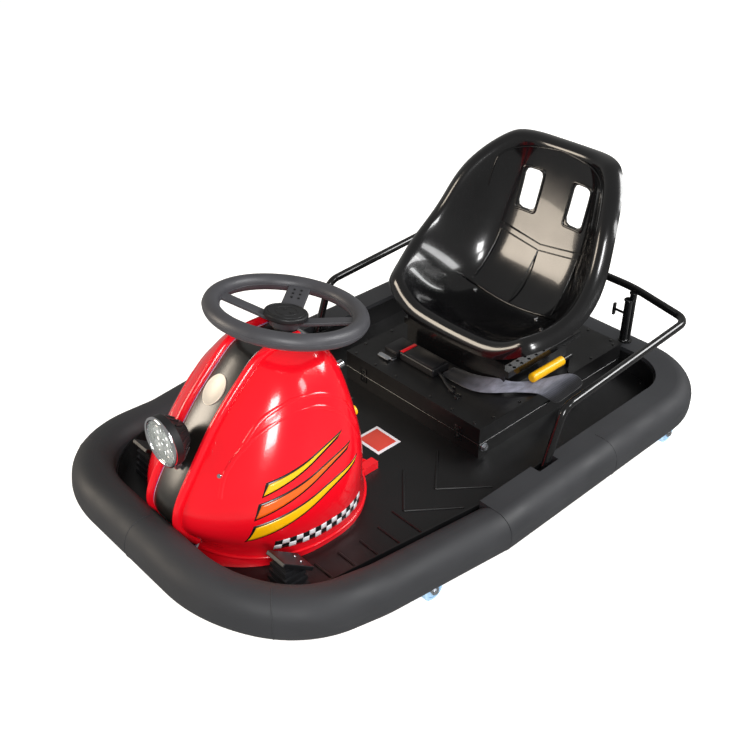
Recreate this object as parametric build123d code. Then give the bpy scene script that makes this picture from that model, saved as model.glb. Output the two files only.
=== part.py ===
"""Electric bumper kart in millimetres: front towards -Y, left towards +X, standing on Z = 0."""
import os
from math import cos, radians, sin

from build123d import *

# Fits
SEAT_GAP = 0.3          # clearance where curved faces of one body meet
RUN_FIT = 0.05          # radial clearance of a shaft in its hole
FAR = 1000.0            # past the kart in every direction

# Heights above the ground
FLOOR_TOP = 105.0
FLOOR_T = 4.0
FLOOR_LOW = FLOOR_TOP - FLOOR_T
WALL_T = 3.0
WALL_TOP = 154.0
LID_TOP = 180.0

# Bumper ring: centre line in plan, then the rubber section
RING_HALF = 389.0
TAIL_Y = 617.0
TAIL_R = 140.0
SEAM_Y = -85.0
SEAM_GAP = 1.0
BEND_Y = -357.0         # from here the ring rises towards the nose
BEND_R = 200.0
SHOULDER_X = 332.0
SHOULDER_Y = -515.0
SHOULDER_RISE = 22.0
NOSE_X = 201.0
NOSE_Y = -616.0
NOSE_RISE = 52.0
NOSE_R = 215.0
BUMPER_W = 88.0
BUMPER_H = 92.0
BUMPER_Z = 118.0
BUMPER_TOP = BUMPER_Z + BUMPER_H / 2
FRONT_ROUND = 40.0
REAR_ROUND = 38.0
REAR_EDGE = 4.0
TUB_LET_IN = 3.0        # how far the tub is let into the bumper's inner face
BUMPER_CUT = BUMPER_W / 2 - TUB_LET_IN
TUB_INSET = BUMPER_CUT + SEAT_GAP

# Steering axis: it starts at the drive wheel's centre and leans back towards the driver
RAKE = 12.0
DRIVE_R = 100.0
DRIVE_W = 56.0
DRIVE_Y = -349.0
COLUMN_R = 11.0
COLUMN_HOLE_R = 19.0
WHEEL_LIFT = 421.0      # hand wheel's plane, measured along the axis
WELL_R = 126.0          # round opening in the floor over the drive wheel

# Casters trail behind their swivel pins
CASTER_R = 25.0
CASTER_W = 20.0
CASTER_TRAIL = 22.0
CASTER_ROUND = 3.0
CASTER_DISH_R = 18.0
CASTER_DISH = 2.5
CASTER_HUB_R = 8.0
CASTER_PIN_R = 5.0
CASTER_AXLE_R = 4.0
CASTER_PLATE_Z = 66.0
CASTER_PLATE_T = 4.0
REAR_PIN_X = RING_HALF - 14.0
SIDE_PIN_X = RING_HALF - 37.0
# Name ending, X and Y of the swivel pin
CASTERS = (
    ("rear_left", REAR_PIN_X, 516.0),
    ("rear_right", -REAR_PIN_X, 516.0),
    ("side_left", SIDE_PIN_X, -241.0),
    ("side_right", -SIDE_PIN_X, -241.0),
)

os.makedirs("parts", exist_ok=True)


def save(node, shape):
    """Write one node, as a bare solid where it holds only one."""
    solids = shape.solids()
    body = solids[0] if len(solids) == 1 else Compound(children=solids)
    export_step(body, f"parts/{node}.step")


def block(low, high):
    """Axis-aligned box between two opposite corners."""
    size = [abs(b - a) for a, b in zip(low, high)]
    mid = [(a + b) / 2 for a, b in zip(low, high)]
    return Pos(*mid) * Box(*size)


def rod(start, end, radius):
    """Round bar between two points."""
    a, b = Vector(*start), Vector(*end)
    return extrude(Plane(origin=a, z_dir=b - a) * Circle(radius), (b - a).length)


def tube(points, radii, radius):
    """Round bar along straight runs joined by tangent arcs."""
    path = FilletPolyline(*points, radius=radii)
    return sweep(Plane(origin=path @ 0, z_dir=path % 0) * Circle(radius), path=path)


def plate(outline, start, thickness):
    """Flat outline, drawn with Y across and Z up, given a thickness along X."""
    return extrude(Plane(origin=(start, 0, 0), x_dir=(0, 1, 0), z_dir=(1, 0, 0)) * outline, thickness)


def turned(outline):
    """Outline drawn as radius and X, turned about the X axis."""
    return revolve(Plane(origin=(0, 0, 0), x_dir=(0, 0, 1), z_dir=(0, -1, 0)) * outline, Axis.X)


def on_axis(shape):
    """Carry a shape from the steering frame, Z along the column, to its place."""
    return Pos(0, DRIVE_Y, DRIVE_R) * Rot(-RAKE, 0, 0) * shape


def mirrored(shape):
    """The same shape on the kart's other side."""
    return mirror(shape, about=Plane.YZ)


def joined(shapes):
    """All shapes as one."""
    whole = shapes[0]
    for shape in shapes[1:]:
        whole += shape
    return whole


# Bumper ring and tub
TAPER = (RING_HALF - SHOULDER_X) / (SEAM_Y - SHOULDER_Y)
SEAM_LEAD = 30.0        # run of the front half past the seam, before it is trimmed
# Left half of the front path: station and rise, from behind the seam to the nose
FRONT_LEFT = (
    (RING_HALF + SEAM_LEAD * TAPER, SEAM_Y + SEAM_LEAD, 0.0),
    (RING_HALF + (BEND_Y - SEAM_Y) * TAPER, BEND_Y, 0.0),
    (SHOULDER_X, SHOULDER_Y, SHOULDER_RISE),
    (NOSE_X, NOSE_Y, NOSE_RISE),
)
FRONT_PATH = FRONT_LEFT + tuple((-x, y, rise) for x, y, rise in reversed(FRONT_LEFT))
FRONT_RADII = [BEND_R] + [NOSE_R] * 4 + [BEND_R]
REAR_PATH = (
    (-RING_HALF, SEAM_Y, 0.0), (-RING_HALF, TAIL_Y, 0.0), (RING_HALF, TAIL_Y, 0.0), (RING_HALF, SEAM_Y, 0.0),
)
PLAN = (
    (RING_HALF, SEAM_Y), (SHOULDER_X, SHOULDER_Y), (NOSE_X, NOSE_Y),
    (-NOSE_X, NOSE_Y), (-SHOULDER_X, SHOULDER_Y), (-RING_HALF, SEAM_Y),
    (-RING_HALF, TAIL_Y), (RING_HALF, TAIL_Y),
)
PLAN_RADII = [0] + [NOSE_R] * 4 + [0] + [TAIL_R] * 2


def ring_face(inset):
    """Plan of the ring's centre line, drawn in by an inset."""
    return offset(make_face(FilletPolyline(*PLAN, radius=PLAN_RADII, close=True)), -inset)


def ring_sweep(points, radii, section):
    """Sweep a section round the ring, its own X pointing outwards."""
    path = FilletPolyline(*[(x, y, BUMPER_Z + rise) for x, y, rise in points], radius=radii)
    along = path % 0
    start = Plane(origin=path @ 0, x_dir=Vector(0, 0, 1).cross(along), z_dir=along)
    return sweep(start * section, path=path)


def tub_space():
    """Room for the steel tub inside the bumper."""
    return Pos(0, 0, FLOOR_LOW) * extrude(ring_face(BUMPER_CUT), 2 * BUMPER_H)


def make_bumper_front():
    section = RectangleRounded(BUMPER_W, BUMPER_H, FRONT_ROUND)
    ring = ring_sweep(FRONT_PATH, FRONT_RADII, section) - tub_space()
    return ring & block((-FAR, -FAR, 0), (FAR, SEAM_Y - SEAM_GAP, FAR))


# Pockets in the rear bumper for the feet of the guard rail
POCKET_FRONT = 68.0
POCKET_REAR = 128.0
POCKET_W = 26.0
POCKET_LOW = 108.0


def make_bumper_rear():
    square = Rectangle(BUMPER_W, BUMPER_H)
    section = fillet(square.vertices().group_by(Axis.X)[-1], REAR_ROUND)
    section = fillet(section.vertices().group_by(Axis.X)[0], REAR_EDGE)
    ring = ring_sweep(REAR_PATH, [TAIL_R] * 2, section)
    inner = RING_HALF - BUMPER_W / 2
    pocket = block((inner - 1, POCKET_FRONT, POCKET_LOW), (inner + POCKET_W, POCKET_REAR, FAR))
    return ring - tub_space() - pocket - mirrored(pocket)


def make_floor_tray():
    tray = Pos(0, 0, FLOOR_LOW) * extrude(ring_face(TUB_INSET), FLOOR_T)
    return tray - rod((0, DRIVE_Y, 0), (0, DRIVE_Y, FAR), WELL_R)


def make_tub_wall():
    height = WALL_TOP - FLOOR_TOP
    shell = extrude(ring_face(TUB_INSET), height) - extrude(ring_face(TUB_INSET + WALL_T), height)
    return Pos(0, 0, FLOOR_TOP) * shell


# Under frame: two long tubes, cross tubes, and arms out to the stepped caster plates
FRAME_X = 180.0
FRAME_W = 30.0
FRAME_H = 20.0
FRAME_LOW = FLOOR_LOW - FRAME_H
FRAME_FRONT = -260.0
FRAME_REAR = 560.0
CROSS_YS = (-180.0, 516.0)
ARM_END = RING_HALF - 79.0
ARM_W = 40.0
STEP_IN = ARM_END - 20.0
PLATE_HALF = 26.0


def make_under_frame():
    pieces = []
    for y in CROSS_YS:
        pieces.append(block((-FRAME_X, y - ARM_W / 2, FRAME_LOW), (FRAME_X, y + ARM_W / 2, FLOOR_LOW)))
    for side in (-1, 1):
        pieces.append(block((side * (FRAME_X - FRAME_W / 2), FRAME_FRONT, FRAME_LOW),
                            (side * (FRAME_X + FRAME_W / 2), FRAME_REAR, FLOOR_LOW)))
    for _, x, y in CASTERS:
        side = 1 if x > 0 else -1
        low_y, high_y = y - ARM_W / 2, y + ARM_W / 2
        pieces.append(block((side * FRAME_X, low_y, FRAME_LOW), (side * ARM_END, high_y, FLOOR_LOW)))
        pieces.append(block((side * STEP_IN, low_y, CASTER_PLATE_Z), (side * ARM_END, high_y, FRAME_LOW)))
        pieces.append(block((side * STEP_IN, y - PLATE_HALF, CASTER_PLATE_Z),
                            (x + side * PLATE_HALF, y + PLATE_HALF, CASTER_PLATE_Z + CASTER_PLATE_T)))
    frame = joined(pieces)
    for _, x, y in CASTERS:
        frame -= rod((x, y, 0), (x, y, CASTER_PLATE_Z + 2 * CASTER_PLATE_T), CASTER_PIN_R + RUN_FIT)
    return frame


# Caster yoke with its pin and axle, and a small plain wheel
YOKE_GAP = 0.4
YOKE_T = 3.0
YOKE_SIDE = 1.5
YOKE_LEG = 9.0
YOKE_INNER = CASTER_W / 2 + YOKE_SIDE


def make_caster_yoke(x, y):
    top = CASTER_PLATE_Z - YOKE_GAP
    crown = rod((0, 0, top - YOKE_T), (0, 0, top), YOKE_INNER + YOKE_T)
    pin = rod((0, 0, top - YOKE_T), (0, 0, CASTER_PLATE_Z + CASTER_PLATE_T), CASTER_PIN_R)
    leg = make_hull([
        *(Pos(0, top - YOKE_T / 2) * Rectangle(2 * YOKE_LEG, YOKE_T)).edges(),
        *(Pos(CASTER_TRAIL, CASTER_R) * Circle(YOKE_LEG)).edges(),
    ])
    legs = [plate(leg, start, YOKE_T) for start in (YOKE_INNER, -YOKE_INNER - YOKE_T)]
    reach = YOKE_INNER + YOKE_T
    axle = rod((-reach, CASTER_TRAIL, CASTER_R), (reach, CASTER_TRAIL, CASTER_R), CASTER_AXLE_R)
    return Pos(x, y, 0) * joined([crown, pin, axle, *legs])


def make_caster_wheel(x, y):
    wheel = fillet(Cylinder(CASTER_R, CASTER_W).edges(), CASTER_ROUND)
    wheel -= Cylinder(CASTER_AXLE_R + RUN_FIT, 2 * CASTER_W)
    ring = Cylinder(CASTER_DISH_R, 2 * CASTER_DISH) - Cylinder(CASTER_HUB_R, 2 * CASTER_DISH)
    for side in (-1, 1):
        wheel -= Pos(0, 0, side * CASTER_W / 2) * ring
    return Pos(x, y + CASTER_TRAIL, CASTER_R) * Rot(0, 90, 0) * wheel


# Drive wheel in its fork, turning with the column and the hand wheel on the raked axis
FORK_GAP = 8.0
FORK_T = 8.0
FORK_W = 44.0
FORK_INNER = DRIVE_W / 2 + FORK_GAP
CROWN_LIFT = 116.0
CROWN_T = 14.0
AXLE_R = 7.0
AXLE_END = 12.0
RIM_R = 72.0
RIM_HALF = 20.0
HUB_R = 26.0
WEB_R = 34.0
WEB_HALF = 22.0
TYRE_FIT = 0.2
TYRE_HALF = 25.0
TYRE_ROUND = 12.0


def make_drive_fork():
    leg = make_hull([
        *Circle(FORK_W / 2).edges(),
        *(Pos(0, CROWN_LIFT) * Rectangle(FORK_W, 2 * CROWN_T)).edges(),
    ])
    half = FORK_INNER + FORK_T
    crown = block((-half, -FORK_W / 2, CROWN_LIFT), (half, FORK_W / 2, CROWN_LIFT + CROWN_T))
    legs = [plate(leg, start, FORK_T) for start in (FORK_INNER, -half)]
    return on_axis(joined([crown, *legs]) - rod((-FAR, 0, 0), (FAR, 0, 0), AXLE_R))


def make_drive_axle():
    reach = FORK_INNER + FORK_T + AXLE_END
    return on_axis(rod((-reach, 0, 0), (reach, 0, 0), AXLE_R))


def make_drive_rim():
    bore, half = AXLE_R + RUN_FIT, DRIVE_W / 2
    side = [(bore, half), (HUB_R, half), (WEB_R, WEB_HALF), (RIM_R, RIM_HALF)]
    outline = side + [(r, -x) for r, x in reversed(side)]
    return on_axis(turned(make_face(Polyline(*outline, close=True))))


def make_drive_tyre():
    low = RIM_R + TYRE_FIT
    outline = Pos((low + DRIVE_R) / 2, 0) * RectangleRounded(DRIVE_R - low, 2 * TYRE_HALF, TYRE_ROUND)
    return on_axis(turned(outline))


# Hand wheel: thick rim, spokes falling to a sunk hub, and a round pad
HAND_R = 140.0
HAND_TUBE_R = 16.0
HAND_HUB_R = 30.0
HAND_HUB_T = 12.0
HUB_SINK = 22.0
PAD_R = 42.0
PAD_T = 12.0
PAD_ROUND = 4.0
SPOKE_IN = 22.0
SPOKE_OUT = 134.0
SPOKE_T = 8.0
SPOKE_ROUND = 3.0
# Turn from +X about the axis, half width
SPOKES = (
    (45.0, 13.0),
    (129.0, 22.0),
    (213.0, 13.0),
)


def make_steering_wheel():
    pieces = [Torus(HAND_R, HAND_TUBE_R), Pos(0, 0, -HUB_SINK) * Cylinder(HAND_HUB_R, HAND_HUB_T)]
    for turn, half in SPOKES:
        low, high = -HUB_SINK - SPOKE_T / 2, -SPOKE_T / 2
        side = Polyline((SPOKE_IN, low), (SPOKE_OUT, high), (SPOKE_OUT, high + SPOKE_T),
                        (SPOKE_IN, low + SPOKE_T), close=True)
        spoke = extrude(Plane.XZ * make_face(side), half, both=True)
        long_edges = spoke.edges().group_by(SortBy.LENGTH)[-1]
        pieces.append(Rot(0, 0, turn) * fillet(long_edges, SPOKE_ROUND))
    return on_axis(Pos(0, 0, WHEEL_LIFT) * joined(pieces))


def make_steering_pad():
    pad = fillet(Cylinder(PAD_R, PAD_T).edges(), PAD_ROUND)
    spokes_top = SPOKE_T / 2 + HUB_SINK * (PAD_R - SPOKE_IN) / (SPOKE_OUT - SPOKE_IN)
    return on_axis(Pos(0, 0, WHEEL_LIFT - HUB_SINK + spokes_top + SEAT_GAP + PAD_T / 2) * pad)


def make_steering_column():
    low, high = CROWN_LIFT + CROWN_T, WHEEL_LIFT - HUB_SINK - HAND_HUB_T / 2
    return on_axis(rod((0, 0, low), (0, 0, high), COLUMN_R))


# Steering head: bored tube on an arch that stands on the floor over the drive wheel
HEAD_LOW = 146.0
HEAD_L = 96.0
HEAD_R = 22.0
ARCH_Y = -316.0
ARCH_HALF = 24.0
ARCH_X = 150.0
ARCH_T = 12.0
ARCH_Z = 255.0
FOOT_IN = 130.0
FOOT_OUT = 170.0
FOOT_T = 5.0


def make_steering_head():
    front, rear = ARCH_Y - ARCH_HALF, ARCH_Y + ARCH_HALF
    pieces = [
        on_axis(rod((0, 0, HEAD_LOW), (0, 0, HEAD_LOW + HEAD_L), HEAD_R)),
        block((-ARCH_X, front, ARCH_Z), (ARCH_X, rear, ARCH_Z + ARCH_T)),
    ]
    for side in (-1, 1):
        pieces.append(block((side * (ARCH_X - ARCH_T), front, FLOOR_TOP), (side * ARCH_X, rear, ARCH_Z)))
        pieces.append(block((side * FOOT_IN, front, FLOOR_TOP), (side * FOOT_OUT, rear, FLOOR_TOP + FOOT_T)))
    bore = on_axis(rod((0, 0, CROWN_LIFT), (0, 0, WHEEL_LIFT), COLUMN_R + RUN_FIT))
    return joined(pieces) - bore


# Cowl: hollow dome in two halves either side of a centre spine
COWL_T = 4.0
SPINE_HALF = 38.0
COWL_JOINT = 0.5
# Horizontal sections: height, front, widest and rear station, half width, radius of the rear corners
COWL_SECTIONS = (
    (105.0, -556.0, -338.0, -138.0, 188.0, 178.0),
    (165.0, -557.0, -345.0, -160.0, 192.0, 160.0),
    (206.0, -575.0, -352.0, -174.0, 192.0, 135.0),
    (285.0, -537.0, -350.0, -189.0, 178.0, 95.0),
    (350.0, -492.0, -335.0, -198.0, 156.0, 80.0),
    (415.0, -435.0, -315.0, -208.0, 127.0, 70.0),
    (460.0, -388.0, -308.0, -234.0, 88.0, 48.0),
    (480.0, -345.0, -312.0, -272.0, 42.0, 24.0),
)


def cowl_section(height, front, middle, rear, half, corner, inset):
    """Half ellipse in front of the widest station, and a flat back with rounded corners behind it."""
    half, rear, corner = half - inset, rear - inset, corner - inset
    flank, back = rear - corner, half - corner
    face = make_face([
        EllipticalCenterArc((0, middle), half, middle - front - inset, 180, arc_size=180),
        Line((half, middle), (half, flank)),
        CenterArc((back, flank), corner, 0, 90),
        Line((back, rear), (-back, rear)),
        CenterArc((-back, flank), corner, 90, 90),
        Line((-half, flank), (-half, middle)),
    ])
    return Pos(0, 0, height) * face


def cowl_outer():
    return loft([cowl_section(*row, 0) for row in COWL_SECTIONS])


def cowl_shell():
    rows = [(z - (COWL_T if n else 0), *rest) for n, (z, *rest) in enumerate(COWL_SECTIONS)]
    inner = loft([cowl_section(*row, COWL_T) for row in rows])
    return cowl_outer() - inner - on_axis(rod((0, 0, HEAD_LOW), (0, 0, WHEEL_LIFT), COLUMN_HOLE_R))


# Mounting tab at the rear foot of each cowl half
TAB_X = 79.0
TAB_W = 20.0
TAB_REAR = -112.0
TAB_IN = -150.0
TAB_H = 18.0


def make_cowl_left():
    tab = block((TAB_X - TAB_W / 2, TAB_IN, FLOOR_TOP), (TAB_X + TAB_W / 2, TAB_REAR, FLOOR_TOP + TAB_H))
    half = cowl_shell() & block((SPINE_HALF + COWL_JOINT, -FAR, 0), (FAR, FAR, FAR))
    return half + tab


def make_cowl_spine():
    return cowl_shell() & block((-SPINE_HALF, -FAR, 0), (SPINE_HALF, FAR, FAR))


# Two knobs on the back of the cowl. X, Z, cap radius, cap length, rearmost Y
KNOB_STEM_R = 5.0
KNOBS = {
    "key_switch": (80.0, 404.0, 8.0, 14.0, -197.0),
    "horn_button": (100.0, 300.0, 11.0, 12.0, -186.0),
}


def make_knob(x, z, radius, length, rear):
    cap = fillet(rod((x, rear - length, z), (x, rear, z), radius).edges(), 2)
    stem = rod((x, -FAR / 3, z), (x, rear - length, z), KNOB_STEM_R)
    return cap + stem - cowl_outer()


# Head lamp in front of the spine
LAMP_Y = -556.0
LAMP_Z = 358.0
LAMP_R = 49.0
LAMP_RIM = 16.0
LAMP_BACK = 46.0
LAMP_BACK_R = 24.0
LAMP_T = 3.0
LAMP_IN_R = LAMP_R - LAMP_T - SEAT_GAP
DISC_DEPTH = 12.0
CUP_REACH = 20.0
CUP_LOW_R = 7.0
CUP_TOP_R = 13.0
CUP_H = 7.0
LENS_DEPTH = 1.7


def lamp_place(shape):
    """Lamp shapes are drawn facing +Z and turned to face forwards."""
    return Pos(0, LAMP_Y, LAMP_Z) * Rot(90, 0, 0) * shape


def lamp_outer():
    outline = Polyline((0, -LAMP_BACK), (LAMP_BACK_R, -LAMP_BACK), (LAMP_R, -LAMP_RIM), (LAMP_R, 0), (0, 0),
                       close=True)
    return lamp_place(revolve(Plane.XZ * make_face(outline), Axis.Z))


def make_lamp_shell():
    back = -LAMP_BACK + LAMP_T
    outline = Polyline((0, back), (LAMP_BACK_R - LAMP_T, back), (LAMP_R - LAMP_T, -LAMP_RIM),
                       (LAMP_R - LAMP_T, LAMP_T), (0, LAMP_T), close=True)
    return lamp_outer() - lamp_place(revolve(Plane.XZ * make_face(outline), Axis.Z))


def make_lamp_reflector():
    disc = Pos(0, 0, -DISC_DEPTH) * Cylinder(LAMP_IN_R, LAMP_T)
    cup = Pos(CUP_REACH, 0, -DISC_DEPTH + LAMP_T / 2 + CUP_H / 2) * Cone(CUP_LOW_R, CUP_TOP_R, CUP_H)
    return lamp_place(joined([disc, *[Rot(0, 0, turn) * cup for turn in (45, 135, 225, 315)]]))


def make_lamp_lens():
    return lamp_place(Pos(0, 0, -LENS_DEPTH) * Cylinder(LAMP_IN_R, LAMP_T))


# Bracket from the spine up to the underside of the lamp
BRACKET_HALF = 12.0
BRACKET_T = 5.0
BRACKET_LOW = 294.0
BRACKET_FRONT = -540.0


def make_lamp_bracket():
    foot = block((-BRACKET_HALF, BRACKET_FRONT, BRACKET_LOW),
                 (BRACKET_HALF, DRIVE_Y, BRACKET_LOW + BRACKET_T))
    post = block((-BRACKET_HALF, BRACKET_FRONT, BRACKET_LOW),
                 (BRACKET_HALF, BRACKET_FRONT + BRACKET_T, LAMP_Z - LAMP_BACK_R))
    return foot + post - cowl_outer() - lamp_outer()


# Pedals each side of the cowl, on ribbed rubber boots
PEDAL_X = 222.0
PEDAL_Y = -454.0
PEDAL_Z = 161.0
PEDAL_W = 50.0
PEDAL_L = 84.0
PEDAL_T = 9.0
PEDAL_ROUND = 2.0
PEDAL_SLOPE = 38.0
BOOT_Y = -462.0
BOOT_STEP = 8.0
BOOT_HALVES = (28.0, 23.0, 26.0, 21.0, 24.0, 19.0, 22.0, 17.0)


def pedal_place(side):
    return Pos(side * PEDAL_X, PEDAL_Y, PEDAL_Z) * Rot(-PEDAL_SLOPE, 0, 0)


def make_pedal(side):
    pad = Box(PEDAL_W, PEDAL_L, PEDAL_T)
    return pedal_place(side) * fillet(pad.edges(), PEDAL_ROUND)


def make_pedal_boot(side):
    rings = []
    for n, half in enumerate(BOOT_HALVES):
        low = FLOOR_TOP + n * BOOT_STEP
        rings.append(block((side * PEDAL_X - half, BOOT_Y - half, low),
                           (side * PEDAL_X + half, BOOT_Y + half, low + BOOT_STEP)))
    above = Box(FAR, FAR, FAR, align=(Align.CENTER, Align.CENTER, Align.MIN))
    return joined(rings) - pedal_place(side) * Pos(0, 0, -PEDAL_T / 2) * above


# Battery box on the floor: tray, bolted lid and the battery itself
BOX_HALF = 210.0
BOX_FRONT = 67.0
BOX_REAR = 565.0
BOX_SEAM = 140.0
BOX_T = 2.5
BATTERY_HALF = 160.0
BATTERY_FRONT = 107.0
BATTERY_REAR = 505.0
BATTERY_TOP = 167.0


def box_space(low, high):
    """Inside of the box between two heights."""
    return block((-BOX_HALF + BOX_T, BOX_FRONT + BOX_T, low), (BOX_HALF - BOX_T, BOX_REAR - BOX_T, high))


def make_battery_tray():
    outer = block((-BOX_HALF, BOX_FRONT, FLOOR_TOP), (BOX_HALF, BOX_REAR, BOX_SEAM))
    return outer - box_space(0, FAR)


def make_battery_lid():
    outer = block((-BOX_HALF, BOX_FRONT, BOX_SEAM), (BOX_HALF, BOX_REAR, LID_TOP))
    return outer - box_space(0, LID_TOP - BOX_T)


def make_battery_block():
    return block((-BATTERY_HALF, BATTERY_FRONT, FLOOR_TOP), (BATTERY_HALF, BATTERY_REAR, BATTERY_TOP))


# Bucket seat: sections from the front lip to the top of the back, each with a flange rolled out at the rim
SEAT_T = 6.0
SEAT_CORNER = 0.55      # corner radius as a share of the section's depth
CREST_R = 5.0
# Y and Z of the middle, lean, half width and depth at the rim, half of the flat, the flange's run and drop
SEAT_SECTIONS = (
    (205.0, 286.0, -14.0, 182.0, 52.0, 128.0, 31.0, 23.0),
    (262.0, 256.0, -3.0, 213.0, 86.0, 138.0, 33.0, 23.0),
    (340.0, 250.0, 14.0, 230.0, 121.0, 142.0, 31.0, 23.0),
    (420.0, 272.0, 22.0, 226.0, 150.0, 142.0, 30.0, 23.0),
    (476.0, 335.0, 37.0, 214.0, 137.0, 140.0, 29.0, 23.0),
    (508.0, 420.0, 47.0, 199.0, 118.0, 136.0, 28.0, 23.0),
    (532.0, 490.0, 55.0, 181.0, 100.0, 126.0, 26.0, 24.0),
    (552.0, 565.0, 72.0, 151.0, 56.0, 108.0, 21.0, 25.0),
    (550.0, 606.0, 95.0, 116.0, 30.0, 80.0, 14.0, 24.0),
)
# Flange across the front lip and the top edge: thickness, fall at the middle and radius of its bends
END_T = 7.0
END_LAP = 2.0           # length of the shell inside the flange
END_BEAD = 2.0          # how far the flange stands proud of the shell
LIP_FALL = 36.0
LIP_BEND = 190.0
CROWN_FALL = 26.0
CROWN_BEND = 120.0
# Harness slots in the back
SLOT_X = 69.0
SLOT_Z = 496.0
SLOT_W = 50.0
SLOT_H = 92.0
SLOT_ROUND = 14.0


def seat_plane(y, z, lean):
    """Plane of a section: X across the kart, Y from the seat's middle towards the rim."""
    return Plane(origin=(0, y, z), x_dir=(1, 0, 0), z_dir=(0, -cos(radians(lean)), -sin(radians(lean))))


def mitre(before, after):
    """Shift of a corner when the runs before and after it both move left by the seat's thickness."""
    a, b = before.normalized().rotate(Axis.Z, 90), after.normalized().rotate(Axis.Z, 90)
    return (a + b) * (SEAT_T / (1 + a.dot(b)))


def both_sides(points):
    """Points of the right half, outwards from the middle, carried over to the whole width."""
    return [(-p.X, p.Y) for p in reversed(points)] + [(p.X, p.Y) for p in points]


def seat_corners(half, depth, flat, run, drop, share):
    """Corners of a section's right half, at a share of the thickness above its underside."""
    heel, crest, tip = Vector(flat, 0), Vector(half, depth), Vector(half + run, depth - drop)
    wing, flange = crest - heel, tip - crest
    shifts = (mitre(Vector(1, 0), wing), mitre(wing, flange), mitre(flange, flange))
    return [corner + shift * share for corner, shift in zip((heel, crest, tip), shifts)]


def seat_path(half, depth, flat, run, drop, share):
    """Line across a section from rim to rim, at a share of the thickness above its underside."""
    crest, heel = CREST_R + SEAT_T * share, SEAT_CORNER * depth - SEAT_T * share
    points = both_sides(seat_corners(half, depth, flat, run, drop, share))
    return FilletPolyline(*points, radius=[crest, heel, heel, crest])


def between(under, over):
    """Face between two lines that run the same way."""
    ends = [Line(under @ 0, over @ 0), Line(under @ 1, over @ 1)]
    return make_face([*under.edges(), *over.edges(), *ends])


def seat_section(y, z, lean, *rim):
    return seat_plane(y, z, lean) * between(seat_path(*rim, 0), seat_path(*rim, 1))


def seat_end(section, fall, bend, outwards):
    """Flange across an end of the seat, wrapped round the shell's own end as a bead."""
    y, z, lean, half, depth, flat, run, drop = section
    reach, low = run + END_BEAD, drop * (1 + END_BEAD / run)
    edge = both_sides([Vector(flat + run / 2, -fall), Vector(half + reach, depth - low)])
    face = between(FilletPolyline(*edge, radius=bend),
                   seat_path(half, depth, flat, reach, low, 1 + END_BEAD / SEAT_T))
    return extrude(seat_plane(y, z, lean) * Pos(Z=-outwards * END_LAP) * face, outwards * END_T)


def make_seat_shell():
    shell = loft([seat_section(*row) for row in SEAT_SECTIONS])
    shell += seat_end(SEAT_SECTIONS[0], LIP_FALL, LIP_BEND, 1)
    shell += seat_end(SEAT_SECTIONS[-1], CROWN_FALL, CROWN_BEND, -1)
    for side in (-1, 1):
        hole = Plane(origin=(side * SLOT_X, 0, SLOT_Z), x_dir=(1, 0, 0), z_dir=(0, 1, 0))
        shell -= extrude(hole * RectangleRounded(SLOT_W, SLOT_H, SLOT_ROUND), FAR)
    return shell


# Seat base: pedestal on the lid, slide rails on its flanks and the slide lever
PEDESTAL_HALF = 150.0
PEDESTAL_FRONT = 208.0
PEDESTAL_REAR = 430.0
PEDESTAL_TOP = 249.0
RUNNER_T = 12.0
RUNNER_LOW = 220.0
RUNNER_H = 16.0
RUNNER_REAR = 460.0
RUNNER_HOLES = 9
RUNNER_HOLE_R = 4.0
RUNNER_PITCH = 25.0
LEVER_X = BOX_HALF - 27.0
LEVER_Z = 206.0
LEVER_FRONT = 262.0
LEVER_REAR = 372.0
LEVER_R = 11.0
LEVER_ROUND = 5.0
LEVER_ROD_R = 5.0
LEVER_END = 402.0


def make_seat_pedestal():
    return block((-PEDESTAL_HALF, PEDESTAL_FRONT, LID_TOP), (PEDESTAL_HALF, PEDESTAL_REAR, PEDESTAL_TOP))


def make_seat_runners():
    bars = []
    for side in (-1, 1):
        inner, outer = side * PEDESTAL_HALF, side * (PEDESTAL_HALF + RUNNER_T)
        bar = block((inner, PEDESTAL_FRONT, RUNNER_LOW), (outer, RUNNER_REAR, RUNNER_LOW + RUNNER_H))
        for n in range(RUNNER_HOLES):
            y = PEDESTAL_FRONT + (n + 1) * RUNNER_PITCH
            bar -= rod(((inner + outer) / 2, y, 0), ((inner + outer) / 2, y, FAR), RUNNER_HOLE_R)
        bars.append(bar)
    return joined(bars)


def make_seat_lever():
    grip = rod((LEVER_X, LEVER_FRONT, LEVER_Z), (LEVER_X, LEVER_REAR, LEVER_Z), LEVER_R)
    grip = fillet(grip.edges(), LEVER_ROUND)
    stem = rod((LEVER_X, LEVER_REAR, LEVER_Z), (LEVER_X, LEVER_END, LEVER_Z), LEVER_ROD_R)
    foot = block((LEVER_X - LEVER_ROD_R, LEVER_END - 2 * LEVER_ROD_R, LID_TOP),
                 (LEVER_X + LEVER_ROD_R, LEVER_END, LEVER_Z))
    return joined([grip, stem, foot])


# Belt pieces lying on the lid: low corner, high corner, edge rounding
BELT = {
    "belt_buckle": ((-100.0, 132.0, LID_TOP), (8.0, 186.0, LID_TOP + 20.0), 4.0),
    "belt_tongue": ((-146.0, 114.0, LID_TOP), (-104.0, 182.0, LID_TOP + 9.0), 2.0),
}
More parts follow.
